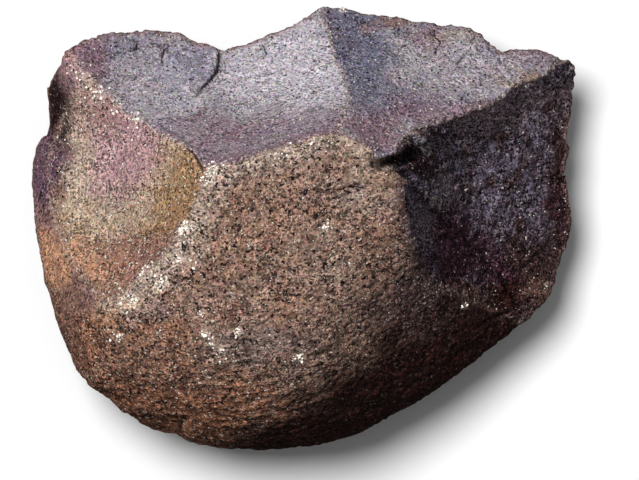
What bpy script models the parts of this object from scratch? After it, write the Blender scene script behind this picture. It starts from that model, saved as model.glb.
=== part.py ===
"""Pebble tool: a quartzite cobble with large flakes struck off one end.

The stone lies on its back with the worked face up. X runs across the cutting edge, Y from the
rounded heel to the cutting edge, and Z up from the surface it rests on. The origin is the middle
of the stone's box, at that surface.

Places on the stone are shares of its box: across is a share of the width and along a share of the
length, both measured from the middle, and height is a share of the thickness above the rest. A
whole cobble is made first. Each scar is then a plane or a shallow bowl through its own ridges, its
rim on the skin and its part of the cutting edge, and everything above it is cut away.
"""

from __future__ import annotations

import math
from collections.abc import Callable, Sequence
from typing import NamedTuple

import bmesh
import bpy
import numpy as np
from mathutils import Vector, noise

# Overall size of the stone
WIDTH = 0.105
LENGTH = 0.0855
THICKNESS = 0.052

# The cobble before it was worked
BELT_HEIGHT = 0.020
REST_WIDTH = 0.036
REST_LENGTH = 0.028
REST_CENTRE = (-0.025, -0.025)
UPPER_FULLNESS = 2.15
SWELL_HEIGHT = 0.0009
SWELL_SPACING = 0.024
SHOULDER_BLEND = 0.006

# The flaking
EDGE_THICKNESS = 0.0008
BACK_SLOPE = math.radians(44)
BACK_HOLLOW = 0.0016
SCAR_BLEND = 0.0030
WALL_BLEND = 0.0045

# Fineness of the meshes
COBBLE_SEGMENTS = 84
UPPER_RINGS = 17
LOWER_RINGS = 10
SCAR_GRID = 0.003
EDGE_STEPS = 7
BACK_RINGS = 4
CUT_MARGIN = 0.006
SLIVER = 0.0002
RIDGE_ANGLE = math.radians(14)


class Place(NamedTuple):
    """A point of the stone, as shares of its width, length and thickness."""

    across: float
    along: float
    height: float


class TrimPoint(NamedTuple):
    """A point of the trimming column's plan.

    On the worked side the column breaks at the cutting edge and leans inward below it. The lean
    is a share of the back slope, and it dies away toward the heel.
    """

    across: float
    along: float
    worked: bool
    lean: float


class Corner(NamedTuple):
    """A corner of the outline, with the bow of the run that leads to the next corner.

    The bow is a share of the width, and is positive where the run swells outward.
    """

    across: float
    along: float
    height: float
    bow: float

    @property
    def place(self) -> Place:
        """The corner as a place that a scar can pass through."""
        return Place(self.across, self.along, self.height)


# Corners of the worked outline, clockwise from the left end of the heel
FLANK_FOOT = Corner(-0.500, 0.098, 0.36, 0.004)
FLANK_NICK = Corner(-0.478, 0.203, 0.34, -0.003)
FLANK_HEAD = Corner(-0.471, 0.309, 0.35, 0.002)
LEFT_HORN = Corner(-0.438, 0.393, 0.47, 0.041)
LEFT_NOTCH = Corner(-0.159, 0.397, 0.41, -0.010)
PEAK = Corner(0.038, 0.500, 0.40, -0.003)
CREST = Corner(0.194, 0.465, 0.34, 0.002)
CREST_END = Corner(0.304, 0.452, 0.36, 0.002)
RIGHT_NOTCH = Corner(0.361, 0.391, 0.39, 0.021)
RIGHT_HORN = Corner(0.500, 0.357, 0.36, 0.002)
SIDE_NICK = Corner(0.480, 0.129, 0.31, -0.002)
SIDE_SWELL = Corner(0.493, 0.005, 0.29, 0.011)
HEEL_RIGHT = Corner(0.412, -0.205, 0.35, 0.0)
WORKED_OUTLINE = (
    FLANK_FOOT, FLANK_NICK, FLANK_HEAD, LEFT_HORN, LEFT_NOTCH, PEAK, CREST, CREST_END,
    RIGHT_NOTCH, RIGHT_HORN, SIDE_NICK, SIDE_SWELL, HEEL_RIGHT,
)
# The trimming column passes wide of the heel here, so the cobble keeps its own outline
WIDE_OF_HEEL = ((0.62, -0.42), (0.30, -0.75), (-0.30, -0.75), (-0.66, -0.40), (-0.62, -0.02))

# Plan of the cobble at its belt: the heel as it shows, and the end that was struck away
COBBLE_PLAN = (
    (-0.501, 0.078), (-0.480, -0.067), (-0.452, -0.220), (-0.406, -0.340), (-0.342, -0.405),
    (-0.254, -0.462), (-0.146, -0.495), (-0.027, -0.498), (0.074, -0.476), (0.197, -0.399),
    (0.304, -0.313), (0.412, -0.205), (0.528, -0.017), (0.545, 0.309), (0.395, 0.524),
    (0.175, 0.598), (-0.118, 0.598), (-0.394, 0.501), (-0.515, 0.287),
)

# The cobble falls away in a broad worn shoulder toward its lower right
SHOULDER = (Place(0.16, -0.14, 0.86), Place(0.06, -0.32, 0.80), Place(0.31, -0.30, 0.42))

# Ridges that two scars share
FLANK_RIDGE = (Place(-0.445, 0.321, 0.48), Place(-0.445, 0.219, 0.48), Place(-0.445, 0.084, 0.47),
               Place(-0.462, 0.000, 0.48))
LEFT_RIDGE = (Place(-0.375, 0.305, 0.59), Place(-0.320, 0.253, 0.68), Place(-0.256, 0.208, 0.78),
              Place(-0.188, 0.140, 0.91))
MIDDLE_RIDGE = (Place(0.052, 0.411, 0.57), Place(0.074, 0.337, 0.70), Place(0.083, 0.276, 0.80))
RIGHT_RIDGE = (Place(0.148, 0.156, 0.90), Place(0.217, 0.224, 0.80), Place(0.296, 0.251, 0.70),
               Place(0.364, 0.294, 0.59), Place(0.447, 0.357, 0.45))
VALLEY = (Place(0.230, 0.050, 0.62), Place(0.285, -0.040, 0.54), Place(0.340, -0.119, 0.46),
          Place(0.392, -0.175, 0.40))


def closed_curve(points: Sequence[tuple[float, float]], steps: int = 16) -> np.ndarray:
    """Run a smooth closed curve through plan points.

    Args:
        points: Plan points in order round the curve.
        steps: How many points stand for each run between two given points.

    Returns:
        The curve's points, one row each.
    """
    given = np.array(points)
    before, after, beyond = np.roll(given, 1, 0), np.roll(given, -1, 0), np.roll(given, -2, 0)
    runs = []
    for t in np.arange(steps) / steps:
        runs.append(0.5 * (2 * given + (after - before) * t
                           + (2 * before - 5 * given + 4 * after - beyond) * t**2
                           + (3 * given - before - 3 * after + beyond) * t**3))
    return np.stack(runs, 1).reshape(-1, 2)


def smooth_max(a: np.ndarray, b: np.ndarray, blend: float) -> np.ndarray:
    """Take the greater of two heights, rounded over where they cross."""
    share = np.clip(0.5 + 0.5 * (a - b) / blend, 0, 1)
    return b + (a - b) * share + blend * share * (1 - share)


class Bed:
    """A plane or shallow bowl that passes as close as it can to its places."""

    def __init__(self, places: Sequence[Place], bowed: bool = True, stiffness: float = 0.05) -> None:
        """Fit the bed.

        Args:
            places: The places that it passes through or close to.
            bowed: Whether it may curve; a plane is fitted otherwise.
            stiffness: How strongly it resists curving where its places leave it free.
        """
        across, along, height = np.array(places).T
        terms = self._terms(across, along)
        if bowed:
            resist = stiffness * np.eye(6)[3:]
            rows, wanted = np.vstack([terms, resist]), np.append(height, np.zeros(3))
            self.shape = np.linalg.lstsq(rows, wanted, rcond=None)[0]
        else:
            self.shape = np.append(np.linalg.lstsq(terms[:, :3], height, rcond=None)[0], np.zeros(3))

    @staticmethod
    def _terms(across: np.ndarray, along: np.ndarray) -> np.ndarray:
        return np.stack([np.ones_like(across), across, along, across**2, across * along, along**2], -1)

    def height(self, across: np.ndarray, along: np.ndarray) -> np.ndarray:
        """Height of the bed at plan places."""
        return self._terms(across, along) @ self.shape


class Scar(NamedTuple):
    """One flake scar or broken face: beds that run into each other in rounded valleys."""

    name: str
    beds: tuple[Bed, ...]
    blend: float = SCAR_BLEND

    def height(self, across: np.ndarray, along: np.ndarray) -> np.ndarray:
        """Height of the scar at plan places."""
        deep = self.beds[0].height(across, along)
        for bed in self.beds[1:]:
            deep = smooth_max(deep, bed.height(across, along), self.blend / THICKNESS)
        return deep


class Cobble:
    """The whole river cobble, as it was before any flake was struck."""

    def __init__(self, plan: Sequence[tuple[float, float]]) -> None:
        curve = closed_curve(plan)
        angle = np.arctan2(curve[:, 1], curve[:, 0])
        order = np.argsort(angle)
        self._angle, self._reach = angle[order], np.hypot(*curve[order].T)
        self._shoulder = Bed(SHOULDER, bowed=False)

    def reach(self, angle: np.ndarray) -> np.ndarray:
        """Distance from the middle to the belt in each direction, in shares."""
        return np.interp(angle, self._angle, self._reach, period=2 * math.pi)

    def skin(self, across: np.ndarray, along: np.ndarray) -> np.ndarray:
        """Height of the cobble's upper skin at plan places."""
        gone = np.hypot(across, along) / self.reach(np.arctan2(along, across))
        gone = np.clip(gone, 0, 1)
        belt = BELT_HEIGHT / THICKNESS
        dome = belt + (1 - belt) * (1 - gone**UPPER_FULLNESS) ** (1 / UPPER_FULLNESS)
        worn = -smooth_max(-dome, -self._shoulder.height(across, along), SHOULDER_BLEND / THICKNESS)
        return np.maximum(worn, belt)

    def rim(self, *points: tuple[float, float]) -> tuple[Place, ...]:
        """Places on the skin, where a scar meets it."""
        return tuple(Place(x, y, float(self.skin(np.array(x), np.array(y)))) for x, y in points)


def flake_scars(cobble: Cobble) -> list[Scar]:
    """Lay out every scar of the worked face.

    Args:
        cobble: The cobble whose skin the scars break.

    Returns:
        The scars from left to right.
    """
    flank = Scar("flank", (
        Bed((FLANK_FOOT.place, FLANK_NICK.place, FLANK_HEAD.place, *FLANK_RIDGE), bowed=False),
    ))
    left_rim = cobble.rim((-0.180, 0.095), (-0.203, 0.030), (-0.256, -0.051), (-0.335, -0.164),
                          (-0.400, -0.130))
    left = Scar("left", (
        Bed((*FLANK_RIDGE, *LEFT_RIDGE, *left_rim, Place(-0.348, 0.107, 0.59),
             Place(-0.290, 0.070, 0.70), Place(-0.360, -0.020, 0.60)), stiffness=0.02),
    ))
    middle_rim = cobble.rim((-0.164, 0.127), (-0.100, 0.158), (-0.027, 0.185), (0.047, 0.213))
    middle = Scar("middle", (
        Bed((LEFT_HORN.place, Place(-0.300, 0.460, 0.41), LEFT_NOTCH.place, Place(-0.078, 0.427, 0.40),
             PEAK.place, *LEFT_RIDGE, *MIDDLE_RIDGE, *middle_rim, Place(-0.192, 0.276, 0.60),
             Place(-0.082, 0.321, 0.54)), stiffness=0.02),
    ))
    top_rim = cobble.rim((0.074, 0.210), (0.102, 0.197), (0.129, 0.179))
    top = Scar("top", (
        Bed((CREST.place, CREST_END.place, RIGHT_NOTCH.place, Place(0.430, 0.400, 0.36),
             *RIGHT_RIDGE, *top_rim, Place(0.175, 0.377, 0.46), Place(0.250, 0.343, 0.49)),
            stiffness=0.1),
        Bed((PEAK.place, *MIDDLE_RIDGE, Place(0.112, 0.440, 0.40), Place(0.135, 0.350, 0.53),
             Place(0.140, 0.300, 0.62)), bowed=False),
    ), WALL_BLEND)
    right_rim = cobble.rim((0.186, 0.100), (0.200, 0.039), (0.205, -0.029), (0.214, -0.090),
                           (0.250, -0.140), (0.315, -0.160))
    right = Scar("right", (
        Bed((*VALLEY, SIDE_NICK.place, SIDE_SWELL.place, Place(0.230, 0.134, 0.62),
             Place(0.285, 0.174, 0.54), Place(0.350, 0.224, 0.47), Place(0.360, 0.129, 0.45),
             Place(0.450, -0.130, 0.31), Place(0.380, -0.010, 0.41)), stiffness=0.1),
        Bed((*RIGHT_RIDGE, Place(0.184, 0.110, 0.70), Place(0.234, 0.139, 0.61),
             Place(0.285, 0.174, 0.53), Place(0.350, 0.224, 0.47)), bowed=False),
        Bed((*right_rim, *VALLEY, Place(0.240, -0.045, 0.66), Place(0.267, -0.110, 0.62)),
            stiffness=0.05),
    ))
    return [flank, left, middle, top, right]


def trim_plan() -> list[TrimPoint]:
    """Follow the worked outline, and then the way round the heel."""
    points = []
    runs = list(zip(WORKED_OUTLINE, WORKED_OUTLINE[1:]))
    for number, (here, there) in enumerate(runs):
        run = np.array([(there.across - here.across) * WIDTH, (there.along - here.along) * LENGTH])
        outward = np.array([-run[1], run[0]]) / np.hypot(*run)
        for step in range(EDGE_STEPS):
            t = step / EDGE_STEPS
            x, y = run * t + outward * here.bow * WIDTH * 4 * t * (1 - t)
            from_heel = min(number + t, len(runs) - number - t, 1)
            points.append(TrimPoint(here.across + x / WIDTH, here.along + y / LENGTH, True,
                                    math.sin(from_heel * math.pi / 2)))
    points.append(TrimPoint(HEEL_RIGHT.across, HEEL_RIGHT.along, True, 0))
    points.extend(TrimPoint(across, along, False, 0) for across, along in WIDE_OF_HEEL)
    return points


def metres(across: float, along: float, height: float) -> Vector:
    """Turn shares of the stone's box into a point in metres."""
    return Vector((across * WIDTH, along * LENGTH, height * THICKNESS))


def new_object(name: str, mesh: bmesh.types.BMesh) -> bpy.types.Object:
    """Close a mesh's normals outward and link it to the scene as an object."""
    bmesh.ops.recalc_face_normals(mesh, faces=mesh.faces)
    data = bpy.data.meshes.new(name)
    mesh.to_mesh(data)
    mesh.free()
    made = bpy.data.objects.new(name, data)
    bpy.context.collection.objects.link(made)
    return made


def bridge(mesh: bmesh.types.BMesh, lower: list, upper: list) -> None:
    """Join two rings of equally many vertices with a band of quads."""
    for k in range(len(lower)):
        after = (k + 1) % len(lower)
        mesh.faces.new((lower[k], lower[after], upper[after], upper[k]))


def make_cobble(cobble: Cobble) -> bpy.types.Object:
    """Model the whole cobble, with the flat worn spot that it rests on."""
    mesh = bmesh.new()
    angles = np.arange(COBBLE_SEGMENTS) / COBBLE_SEGMENTS * 2 * math.pi
    reach = cobble.reach(angles)
    plan = np.stack([np.cos(angles) * reach, np.sin(angles) * reach], 1)
    spot = np.stack([REST_CENTRE[0] + np.cos(angles) * REST_WIDTH / 2 / WIDTH,
                     REST_CENTRE[1] + np.sin(angles) * REST_LENGTH / 2 / LENGTH], 1)

    rings = []
    for ring in range(LOWER_RINGS + 1):
        out = math.sin(ring / LOWER_RINGS * math.pi / 2)
        height = BELT_HEIGHT / THICKNESS * (1 - math.sqrt(1 - out**2))
        line = spot + (plan - spot) * out
        rings.append([mesh.verts.new(metres(x, y, height)) for x, y in line])
    for ring in range(UPPER_RINGS - 1, 0, -1):
        share = math.sin(ring / UPPER_RINGS * math.pi / 2)
        line = plan * share
        heights = cobble.skin(line[:, 0], line[:, 1])
        rings.append([mesh.verts.new(metres(x, y, h) + swell(x, y, share))
                      for (x, y), h in zip(line, heights)])
    for lower, upper in zip(rings, rings[1:]):
        bridge(mesh, lower, upper)
    mesh.faces.new(rings[0])
    top = mesh.verts.new(metres(0, 0, float(cobble.skin(np.array(0.0), np.array(0.0)))))
    for k, vert in enumerate(rings[-1]):
        mesh.faces.new((vert, rings[-1][(k + 1) % COBBLE_SEGMENTS], top))
    return new_object("pebble_tool", mesh)


def swell(across: float, along: float, share: float) -> Vector:
    """Broad, low unevenness of the upper skin, none at the belt and at the crown."""
    spot = metres(across, along, 0) / SWELL_SPACING
    fade = 4 * share * (1 - share)
    return Vector((0, 0, noise.noise(spot) * SWELL_HEIGHT * fade))


def make_scar_cutter(scar: Scar) -> bpy.types.Object:
    """Model everything that lies above a scar, as a slab whose underside is the scar."""
    half_width, half_length = WIDTH / 2 + CUT_MARGIN, LENGTH / 2 + CUT_MARGIN
    xs = np.linspace(-half_width, half_width, round(2 * half_width / SCAR_GRID) + 1)
    ys = np.linspace(-half_length, half_length, round(2 * half_length / SCAR_GRID) + 1)
    x, y = np.meshgrid(xs, ys, indexing="ij")
    z = scar.height(x / WIDTH, y / LENGTH) * THICKNESS
    z = np.clip(z, -CUT_MARGIN, THICKNESS + CUT_MARGIN)
    lid = THICKNESS + 2 * CUT_MARGIN

    mesh = bmesh.new()
    under = [[mesh.verts.new(point) for point in row] for row in np.stack([x, y, z], -1)]
    for i in range(len(xs) - 1):
        for j in range(len(ys) - 1):
            mesh.faces.new((under[i][j], under[i + 1][j], under[i + 1][j + 1], under[i][j + 1]))
    border = ([row[0] for row in under] + under[-1][1:] + [row[-1] for row in under[-2::-1]]
              + under[0][-2:0:-1])
    over = [mesh.verts.new((vert.co.x, vert.co.y, lid)) for vert in border]
    bridge(mesh, border, over)
    mesh.faces.new(over)
    return new_object(f"{scar.name}_scar_cutter", mesh)


def make_trim_column(worked: Callable[[np.ndarray, np.ndarray], np.ndarray]) -> bpy.types.Object:
    """Model the column that the worked outline fills.

    It is upright above the cutting edge and leans inward below it in hollow back flakes.

    Args:
        worked: Height of the worked face at plan places.

    Returns:
        The column.
    """
    across, along, on_edge, lean = np.array(trim_plan()).T
    break_height = np.where(on_edge, worked(across, along) * THICKNESS - EDGE_THICKNESS, BELT_HEIGHT)
    reach = np.hypot(across * WIDTH, along * LENGTH)

    mesh = bmesh.new()
    rings = []
    for ring in range(BACK_RINGS, -1, -1):
        down = ring / BACK_RINGS
        drop = (break_height + CUT_MARGIN) * down
        inward = drop * math.tan(BACK_SLOPE) + BACK_HOLLOW * 4 * down * (1 - down)
        shrink = 1 - lean * inward / reach
        line = np.stack([across * WIDTH * shrink, along * LENGTH * shrink, break_height - drop], 1)
        rings.append([mesh.verts.new(point) for point in line])
    top = THICKNESS + CUT_MARGIN
    rings.append([mesh.verts.new((vert.co.x, vert.co.y, top)) for vert in rings[-1]])
    for lower, upper in zip(rings, rings[1:]):
        bridge(mesh, lower, upper)
    for ring in (rings[0], rings[-1]):
        mesh.faces.new(ring)
    bmesh.ops.triangulate(mesh, faces=mesh.faces)
    return new_object("trim_column", mesh)


def cut(stone: bpy.types.Object, tool: bpy.types.Object, operation: str) -> None:
    """Cut the stone with a tool, and throw the tool away."""
    boolean = stone.modifiers.new(tool.name, "BOOLEAN")
    boolean.operation = operation
    boolean.solver = "EXACT"
    boolean.object = tool
    whole = stone.data
    evaluated = stone.evaluated_get(bpy.context.evaluated_depsgraph_get())
    stone.data = bpy.data.meshes.new_from_object(evaluated)
    stone.data.name = whole.name
    stone.modifiers.remove(boolean)
    bpy.data.meshes.remove(whole)
    bpy.data.objects.remove(tool)


def dress(stone: bpy.types.Object) -> None:
    """Merge the slivers that the cuts leave, and shade the stone smooth up to its ridges."""
    mesh = bmesh.new()
    mesh.from_mesh(stone.data)
    bmesh.ops.remove_doubles(mesh, verts=mesh.verts, dist=SLIVER)
    bmesh.ops.dissolve_degenerate(mesh, edges=mesh.edges, dist=SLIVER / 10)
    bmesh.ops.triangulate(mesh, faces=mesh.faces)
    mesh.to_mesh(stone.data)
    mesh.free()
    stone.data.shade_smooth()
    stone.data.set_sharp_from_angle(angle=RIDGE_ANGLE)


def quartzite() -> bpy.types.Material:
    """Brown quartzite, dull and close-grained."""
    material = bpy.data.materials.new("quartzite")
    material.use_nodes = True
    shader = material.node_tree.nodes["Principled BSDF"]
    shader.inputs["Base Color"].default_value = (0.24, 0.16, 0.13, 1)
    shader.inputs["Roughness"].default_value = 0.8
    shader.inputs["Metallic"].default_value = 0.0
    return material


def main() -> None:
    """Model the pebble tool."""
    for old in list(bpy.data.objects):
        bpy.data.objects.remove(old)

    cobble = Cobble(COBBLE_PLAN)
    scars = flake_scars(cobble)

    def worked(across: np.ndarray, along: np.ndarray) -> np.ndarray:
        return np.min([scar.height(across, along) for scar in scars], 0)

    stone = make_cobble(cobble)
    stone.data.materials.append(quartzite())
    for scar in scars:
        cut(stone, make_scar_cutter(scar), "DIFFERENCE")
    cut(stone, make_trim_column(worked), "INTERSECT")
    dress(stone)


if __name__ == "__main__":
    main()
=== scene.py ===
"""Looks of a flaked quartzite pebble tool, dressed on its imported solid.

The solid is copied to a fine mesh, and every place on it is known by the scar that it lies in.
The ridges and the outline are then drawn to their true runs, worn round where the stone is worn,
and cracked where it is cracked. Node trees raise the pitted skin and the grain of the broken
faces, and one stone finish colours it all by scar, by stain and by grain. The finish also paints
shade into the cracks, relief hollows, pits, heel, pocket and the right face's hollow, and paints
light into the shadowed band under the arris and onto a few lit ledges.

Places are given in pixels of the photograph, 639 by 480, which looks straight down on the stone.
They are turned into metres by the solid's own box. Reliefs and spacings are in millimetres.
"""

from __future__ import annotations

import heapq
import logging
import math
from collections.abc import Iterable, Mapping, Sequence
from dataclasses import dataclass, field, fields
from enum import Enum
from typing import Any, NamedTuple

import bmesh
import bpy
import numpy as np
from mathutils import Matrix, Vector, kdtree, noise
from mathutils.bvhtree import BVHTree


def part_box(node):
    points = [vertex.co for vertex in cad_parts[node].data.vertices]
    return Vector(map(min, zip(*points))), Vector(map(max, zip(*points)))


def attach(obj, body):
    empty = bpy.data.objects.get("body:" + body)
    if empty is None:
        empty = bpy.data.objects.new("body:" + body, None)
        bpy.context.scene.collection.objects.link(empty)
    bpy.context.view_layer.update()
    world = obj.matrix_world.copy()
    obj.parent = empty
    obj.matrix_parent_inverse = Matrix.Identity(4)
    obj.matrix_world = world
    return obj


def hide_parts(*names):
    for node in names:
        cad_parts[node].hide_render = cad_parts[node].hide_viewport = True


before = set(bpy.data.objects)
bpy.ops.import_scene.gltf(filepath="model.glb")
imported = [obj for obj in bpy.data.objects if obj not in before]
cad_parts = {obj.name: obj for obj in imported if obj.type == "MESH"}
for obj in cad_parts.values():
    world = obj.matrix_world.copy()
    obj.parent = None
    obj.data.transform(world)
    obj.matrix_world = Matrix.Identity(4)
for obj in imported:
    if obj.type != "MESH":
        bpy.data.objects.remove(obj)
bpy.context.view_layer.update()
LOG = logging.getLogger("pebble_tool")

NODE = "pebble_tool"
MM = 0.001
RELAX_SHARE = 0.6
NOISE_SEED = 7

Pixel = tuple[float, float]
Colour = tuple[float, float, float]


class Patch(Enum):
    """The faces of the stone, each broken or worn in its own way."""

    SKIN = "skin"
    FLANK = "flank"
    LEFT = "left"
    MIDDLE = "middle"
    TOP = "top"
    RIGHT = "right"
    BACK = "back"


SKIN = frozenset({Patch.SKIN})
BACK = frozenset({Patch.BACK})
SCARS = frozenset(Patch) - SKIN - BACK


class Line(Enum):
    """The lines where patches meet."""

    RIM = "rim_mm"
    LEFT_RIM = "left_rim_mm"
    TOP_RIM = "top_rim_mm"
    ARRIS = "arris_mm"
    EDGE = "edge_mm"


LINE_SIDES: dict[Line, tuple[frozenset[Patch], frozenset[Patch]]] = {
    Line.RIM: (SKIN, SCARS | BACK),
    Line.LEFT_RIM: (SKIN, frozenset({Patch.LEFT})),
    Line.TOP_RIM: (SKIN, frozenset({Patch.MIDDLE, Patch.TOP})),
    Line.ARRIS: (SCARS, SCARS),
    Line.EDGE: (BACK, SCARS),
}


@dataclass(frozen=True)
class PhotoPlan:
    """Turns pixels of the photograph into places on the stone, by the solid's own box."""

    low: Vector
    high: Vector
    left_px: float = 32.0
    right_px: float = 577.0
    top_px: float = 5.5
    bottom_px: float = 449.0
    width_px: int = 639
    height_px: int = 480

    @property
    def metres_per_pixel(self) -> float:
        """How much of the stone one pixel covers."""
        return (self.high.x - self.low.x) / (self.right_px - self.left_px)

    def place(self, pixel: Pixel) -> tuple[float, float]:
        """Place of a pixel in metres, seen from above."""
        x = self.low.x + (pixel[0] - self.left_px) * self.metres_per_pixel
        share = (pixel[1] - self.top_px) / (self.bottom_px - self.top_px)
        return x, self.high.y + share * (self.low.y - self.high.y)

    def line(self, pixels: Iterable[Pixel]) -> np.ndarray:
        """Places of a row of pixels in metres, one row each."""
        return np.array([self.place(pixel) for pixel in pixels])


# Pixels that surely lie in a patch, as the stone is seen from above and from below.
SEEDS_ABOVE: dict[Patch, tuple[Pixel, ...]] = {
    Patch.SKIN: ((280, 260), (200, 400), (440, 350)),
    Patch.FLANK: ((46, 185), (57, 100)),
    Patch.LEFT: ((115, 180),),
    Patch.MIDDLE: ((230, 100),),
    Patch.TOP: ((430, 80), (358, 60)),
    Patch.RIGHT: ((520, 190), (425, 240), (460, 140)),
}
SEEDS_BELOW: dict[Patch, tuple[Pixel, ...]] = {
    Patch.SKIN: ((280, 260), (250, 400)),
    Patch.BACK: ((110, 50), (180, 48), (250, 55), (310, 30), (380, 35), (450, 42), (540, 68),
                 (560, 120), (556, 175), (560, 230), (52, 137), (58, 85)),
}


@dataclass(frozen=True)
class Guide:
    """The true run of a ridge, in pixels.

    The ridge between two sets of patches is drawn to it, and the stone beside the ridge follows
    within the reach, in millimetres.
    """

    one: frozenset[Patch]
    other: frozenset[Patch]
    line: tuple[Pixel, ...]
    reach: float = 4.5
    longest_pull: float = 2.0


GUIDES = (
    Guide(frozenset({Patch.MIDDLE}), frozenset({Patch.TOP}), (
        (323, 4), (321, 10), (320.5, 18), (322, 27), (324, 38), (328, 50), (335, 60), (344, 73),
        (349, 84), (349, 96), (345, 108), (341, 120), (339, 136)), 5.5),
    Guide(frozenset({Patch.LEFT}), frozenset({Patch.MIDDLE}), (
        (68, 46), (73, 53), (80, 60), (88, 70), (95, 79), (103, 90), (113, 98), (124, 109),
        (137, 118), (148, 124), (157, 131), (167, 135), (176, 141), (188, 147), (197, 156),
        (203, 168)), 3.0),
    Guide(frozenset({Patch.TOP}), frozenset({Patch.RIGHT}), (
        (380, 150), (384, 146), (391, 142), (398, 138), (409, 135), (412, 130), (426, 127),
        (437, 125), (446, 120), (459, 116), (470, 111), (479, 109), (491, 105), (499, 100),
        (506, 95), (512, 88), (518, 85), (531, 81), (546, 75), (551, 68), (560, 63), (571, 59)), 3.5),
    Guide(SKIN, frozenset({Patch.MIDDLE, Patch.TOP}), (
        (198, 174), (207, 169), (217, 163), (229, 164), (238, 163), (246, 157), (255, 155),
        (265, 151), (276, 149), (286, 144), (301, 142), (308, 137), (315, 135), (325, 132),
        (336, 135), (344, 134), (353, 138), (362, 145), (371, 149), (374, 158), (376, 164)), 3.5),
    Guide(SKIN, frozenset({Patch.LEFT}), (
        (203, 166), (201, 176), (196, 186), (194, 198), (189, 208), (188, 218), (181, 228),
        (176, 232), (168, 243), (160, 249), (156, 258), (148, 264), (141, 275), (131, 283),
        (125, 292), (112, 296), (97, 300)), 3.0),
    Guide(SKIN, frozenset({Patch.RIGHT}), (
        (372, 160), (376, 168), (384, 171), (394, 170), (401, 171), (405, 178), (408, 190),
        (410, 210), (414, 235), (422, 258), (432, 275), (449, 290), (480, 303), (510, 315)), 4.0, 2.6),
)

OUTLINE: tuple[Pixel, ...] = (
    (42, 264), (38, 246), (36, 237), (34, 227), (33.5, 210), (32.7, 199), (31.3, 187), (31.5, 172),
    (33, 159), (35.5, 150), (38.5, 141.5), (46, 134.5), (48.5, 124), (48, 102), (46.5, 90), (51.5, 81),
    (56, 72), (60, 62.5), (64, 53), (72, 46), (82, 41), (92, 36.5), (102, 33.5), (115, 31.5), (127, 31),
    (138, 29.5), (149, 28.8), (160, 29.2), (171, 29.8), (179, 32), (186, 36), (191, 39.5), (197, 40.3),
    (205, 41.5), (211, 44), (216, 47), (220, 51.3), (225, 50), (232, 47.5), (245, 44.3), (251, 42),
    (258, 39.2), (264, 37.2), (270, 33.5), (277, 32.3), (284, 29), (290, 26), (297, 22.2), (304.5, 17.5),
    (311, 13), (316, 9), (320, 6.5), (324, 5.5), (328, 6), (333, 8), (338, 8.2), (343.5, 7), (351, 9.5),
    (358, 11.8), (366, 14.5), (374, 14), (382, 14.5), (390, 16), (399, 16), (407, 17.5), (412, 21),
    (423, 21.5), (429, 20.5), (434, 21.3), (439, 25.5), (443, 25), (452, 23.5), (463, 25), (472, 27.8),
    (478, 31), (483, 35), (487, 39), (494, 45), (500.5, 51.5), (503, 51), (509, 47.5), (521, 46.5),
    (535, 48), (547, 51), (556, 54), (562, 58), (568, 59), (573, 62), (576.5, 68), (577, 78), (574, 90),
    (574, 96), (572, 119), (569.5, 127), (568.5, 135), (570.5, 151), (567, 160), (565, 170),
    (566.5, 181), (568, 190), (571, 208), (572.5, 218), (572, 227), (570.5, 236), (568, 245), (563, 254),
    (557.5, 272), (555.5, 280), (553, 289), (549.5, 297), (544, 305), (536, 311), (531, 318.5),
    (522, 324), (514, 329.5), (508.5, 335.7), (501, 340.6), (488, 351), (476, 361.2), (463, 370.3),
    (451, 379.2), (440, 388.8), (427.6, 396.5), (414.6, 403.4), (402, 410.7), (389, 417.7),
    (376.5, 425), (363, 432.5), (349, 438), (334.7, 442), (320, 445), (304.5, 447), (289, 448.5),
    (273, 449.5), (257, 450), (240, 450), (224, 449), (215, 448), (207, 446.5), (198, 445), (189.6, 443),
    (182, 439), (176, 433.5), (166, 433), (156.5, 431), (148, 427.3), (139.6, 423.5), (133.5, 417.3),
    (124, 414), (117, 408.4), (111, 401.5), (103.4, 396), (95.3, 390.7), (87.5, 385), (82, 377.5),
    (75.7, 370), (69, 352), (61.7, 335), (55.5, 318), (51, 300), (48, 291), (45, 282),
)


@dataclass(frozen=True)
class Worn:
    """A ridge that is worn round: its run in pixels, and how far from it in millimetres."""

    line: tuple[Pixel, ...]
    reach: float
    rounds: int


WORN = (
    Worn(((72, 46), (64, 80), (64, 110), (62, 140), (58, 170), (60, 215), (74, 262), (97, 300)), 3.4, 70),
    Worn(((203, 168), (194, 200), (181, 228), (156, 258), (125, 292), (97, 300)), 2.2, 30),
    Worn(((205, 169), (238, 163), (286, 144), (325, 132), (353, 138), (372, 150)), 2.0, 18),
    Worn(((349, 84), (349, 98), (343, 118), (339, 136)), 3.2, 60),
    Worn(((407, 186), (410, 210), (415, 235), (423, 258), (434, 276), (452, 291), (484, 304)), 6.5, 200),
    Worn(((484, 304), (512, 316), (524, 322)), 2.5, 30),
    Worn(((77, 56), (103, 90), (137, 118), (176, 141), (200, 160)), 0.9, 8),
)


@dataclass(frozen=True)
class Swell:
    """A low hump, or a hollow where its height is negative.

    Its place and its reach, along and across, are in pixels, its turn is in degrees, anticlockwise
    from the photograph's right, and its height is in millimetres.
    """

    pixel: Pixel
    reach: tuple[float, float]
    turn: float
    height: float


SWELLS = (
    Swell((397, 160), (24, 6), 16, -2.6),
    Swell((424, 143), (30, 5), 22, 0.8),
    Swell((431, 201), (10, 2.6), -57, 0.9),
    Swell((421, 205), (16, 5), -60, -0.7),
    Swell((352, 196), (12, 5), 0, -0.5),
    Swell((455, 292), (36, 8), 6, 0.5),
    Swell((398, 58), (34, 6), 70, 0.5),
    Swell((366, 50), (18, 34), -15, -0.5),
    Swell((62, 112), (9, 22), 0, -0.8),
    Swell((97, 88), (14, 5), -40, 0.35),
    Swell((150, 75), (40, 20), 10, -0.3),
    Swell((540, 130), (30, 14), 30, 0.5),
    Swell((500, 200), (26, 9), 60, 0.4),
)


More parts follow.
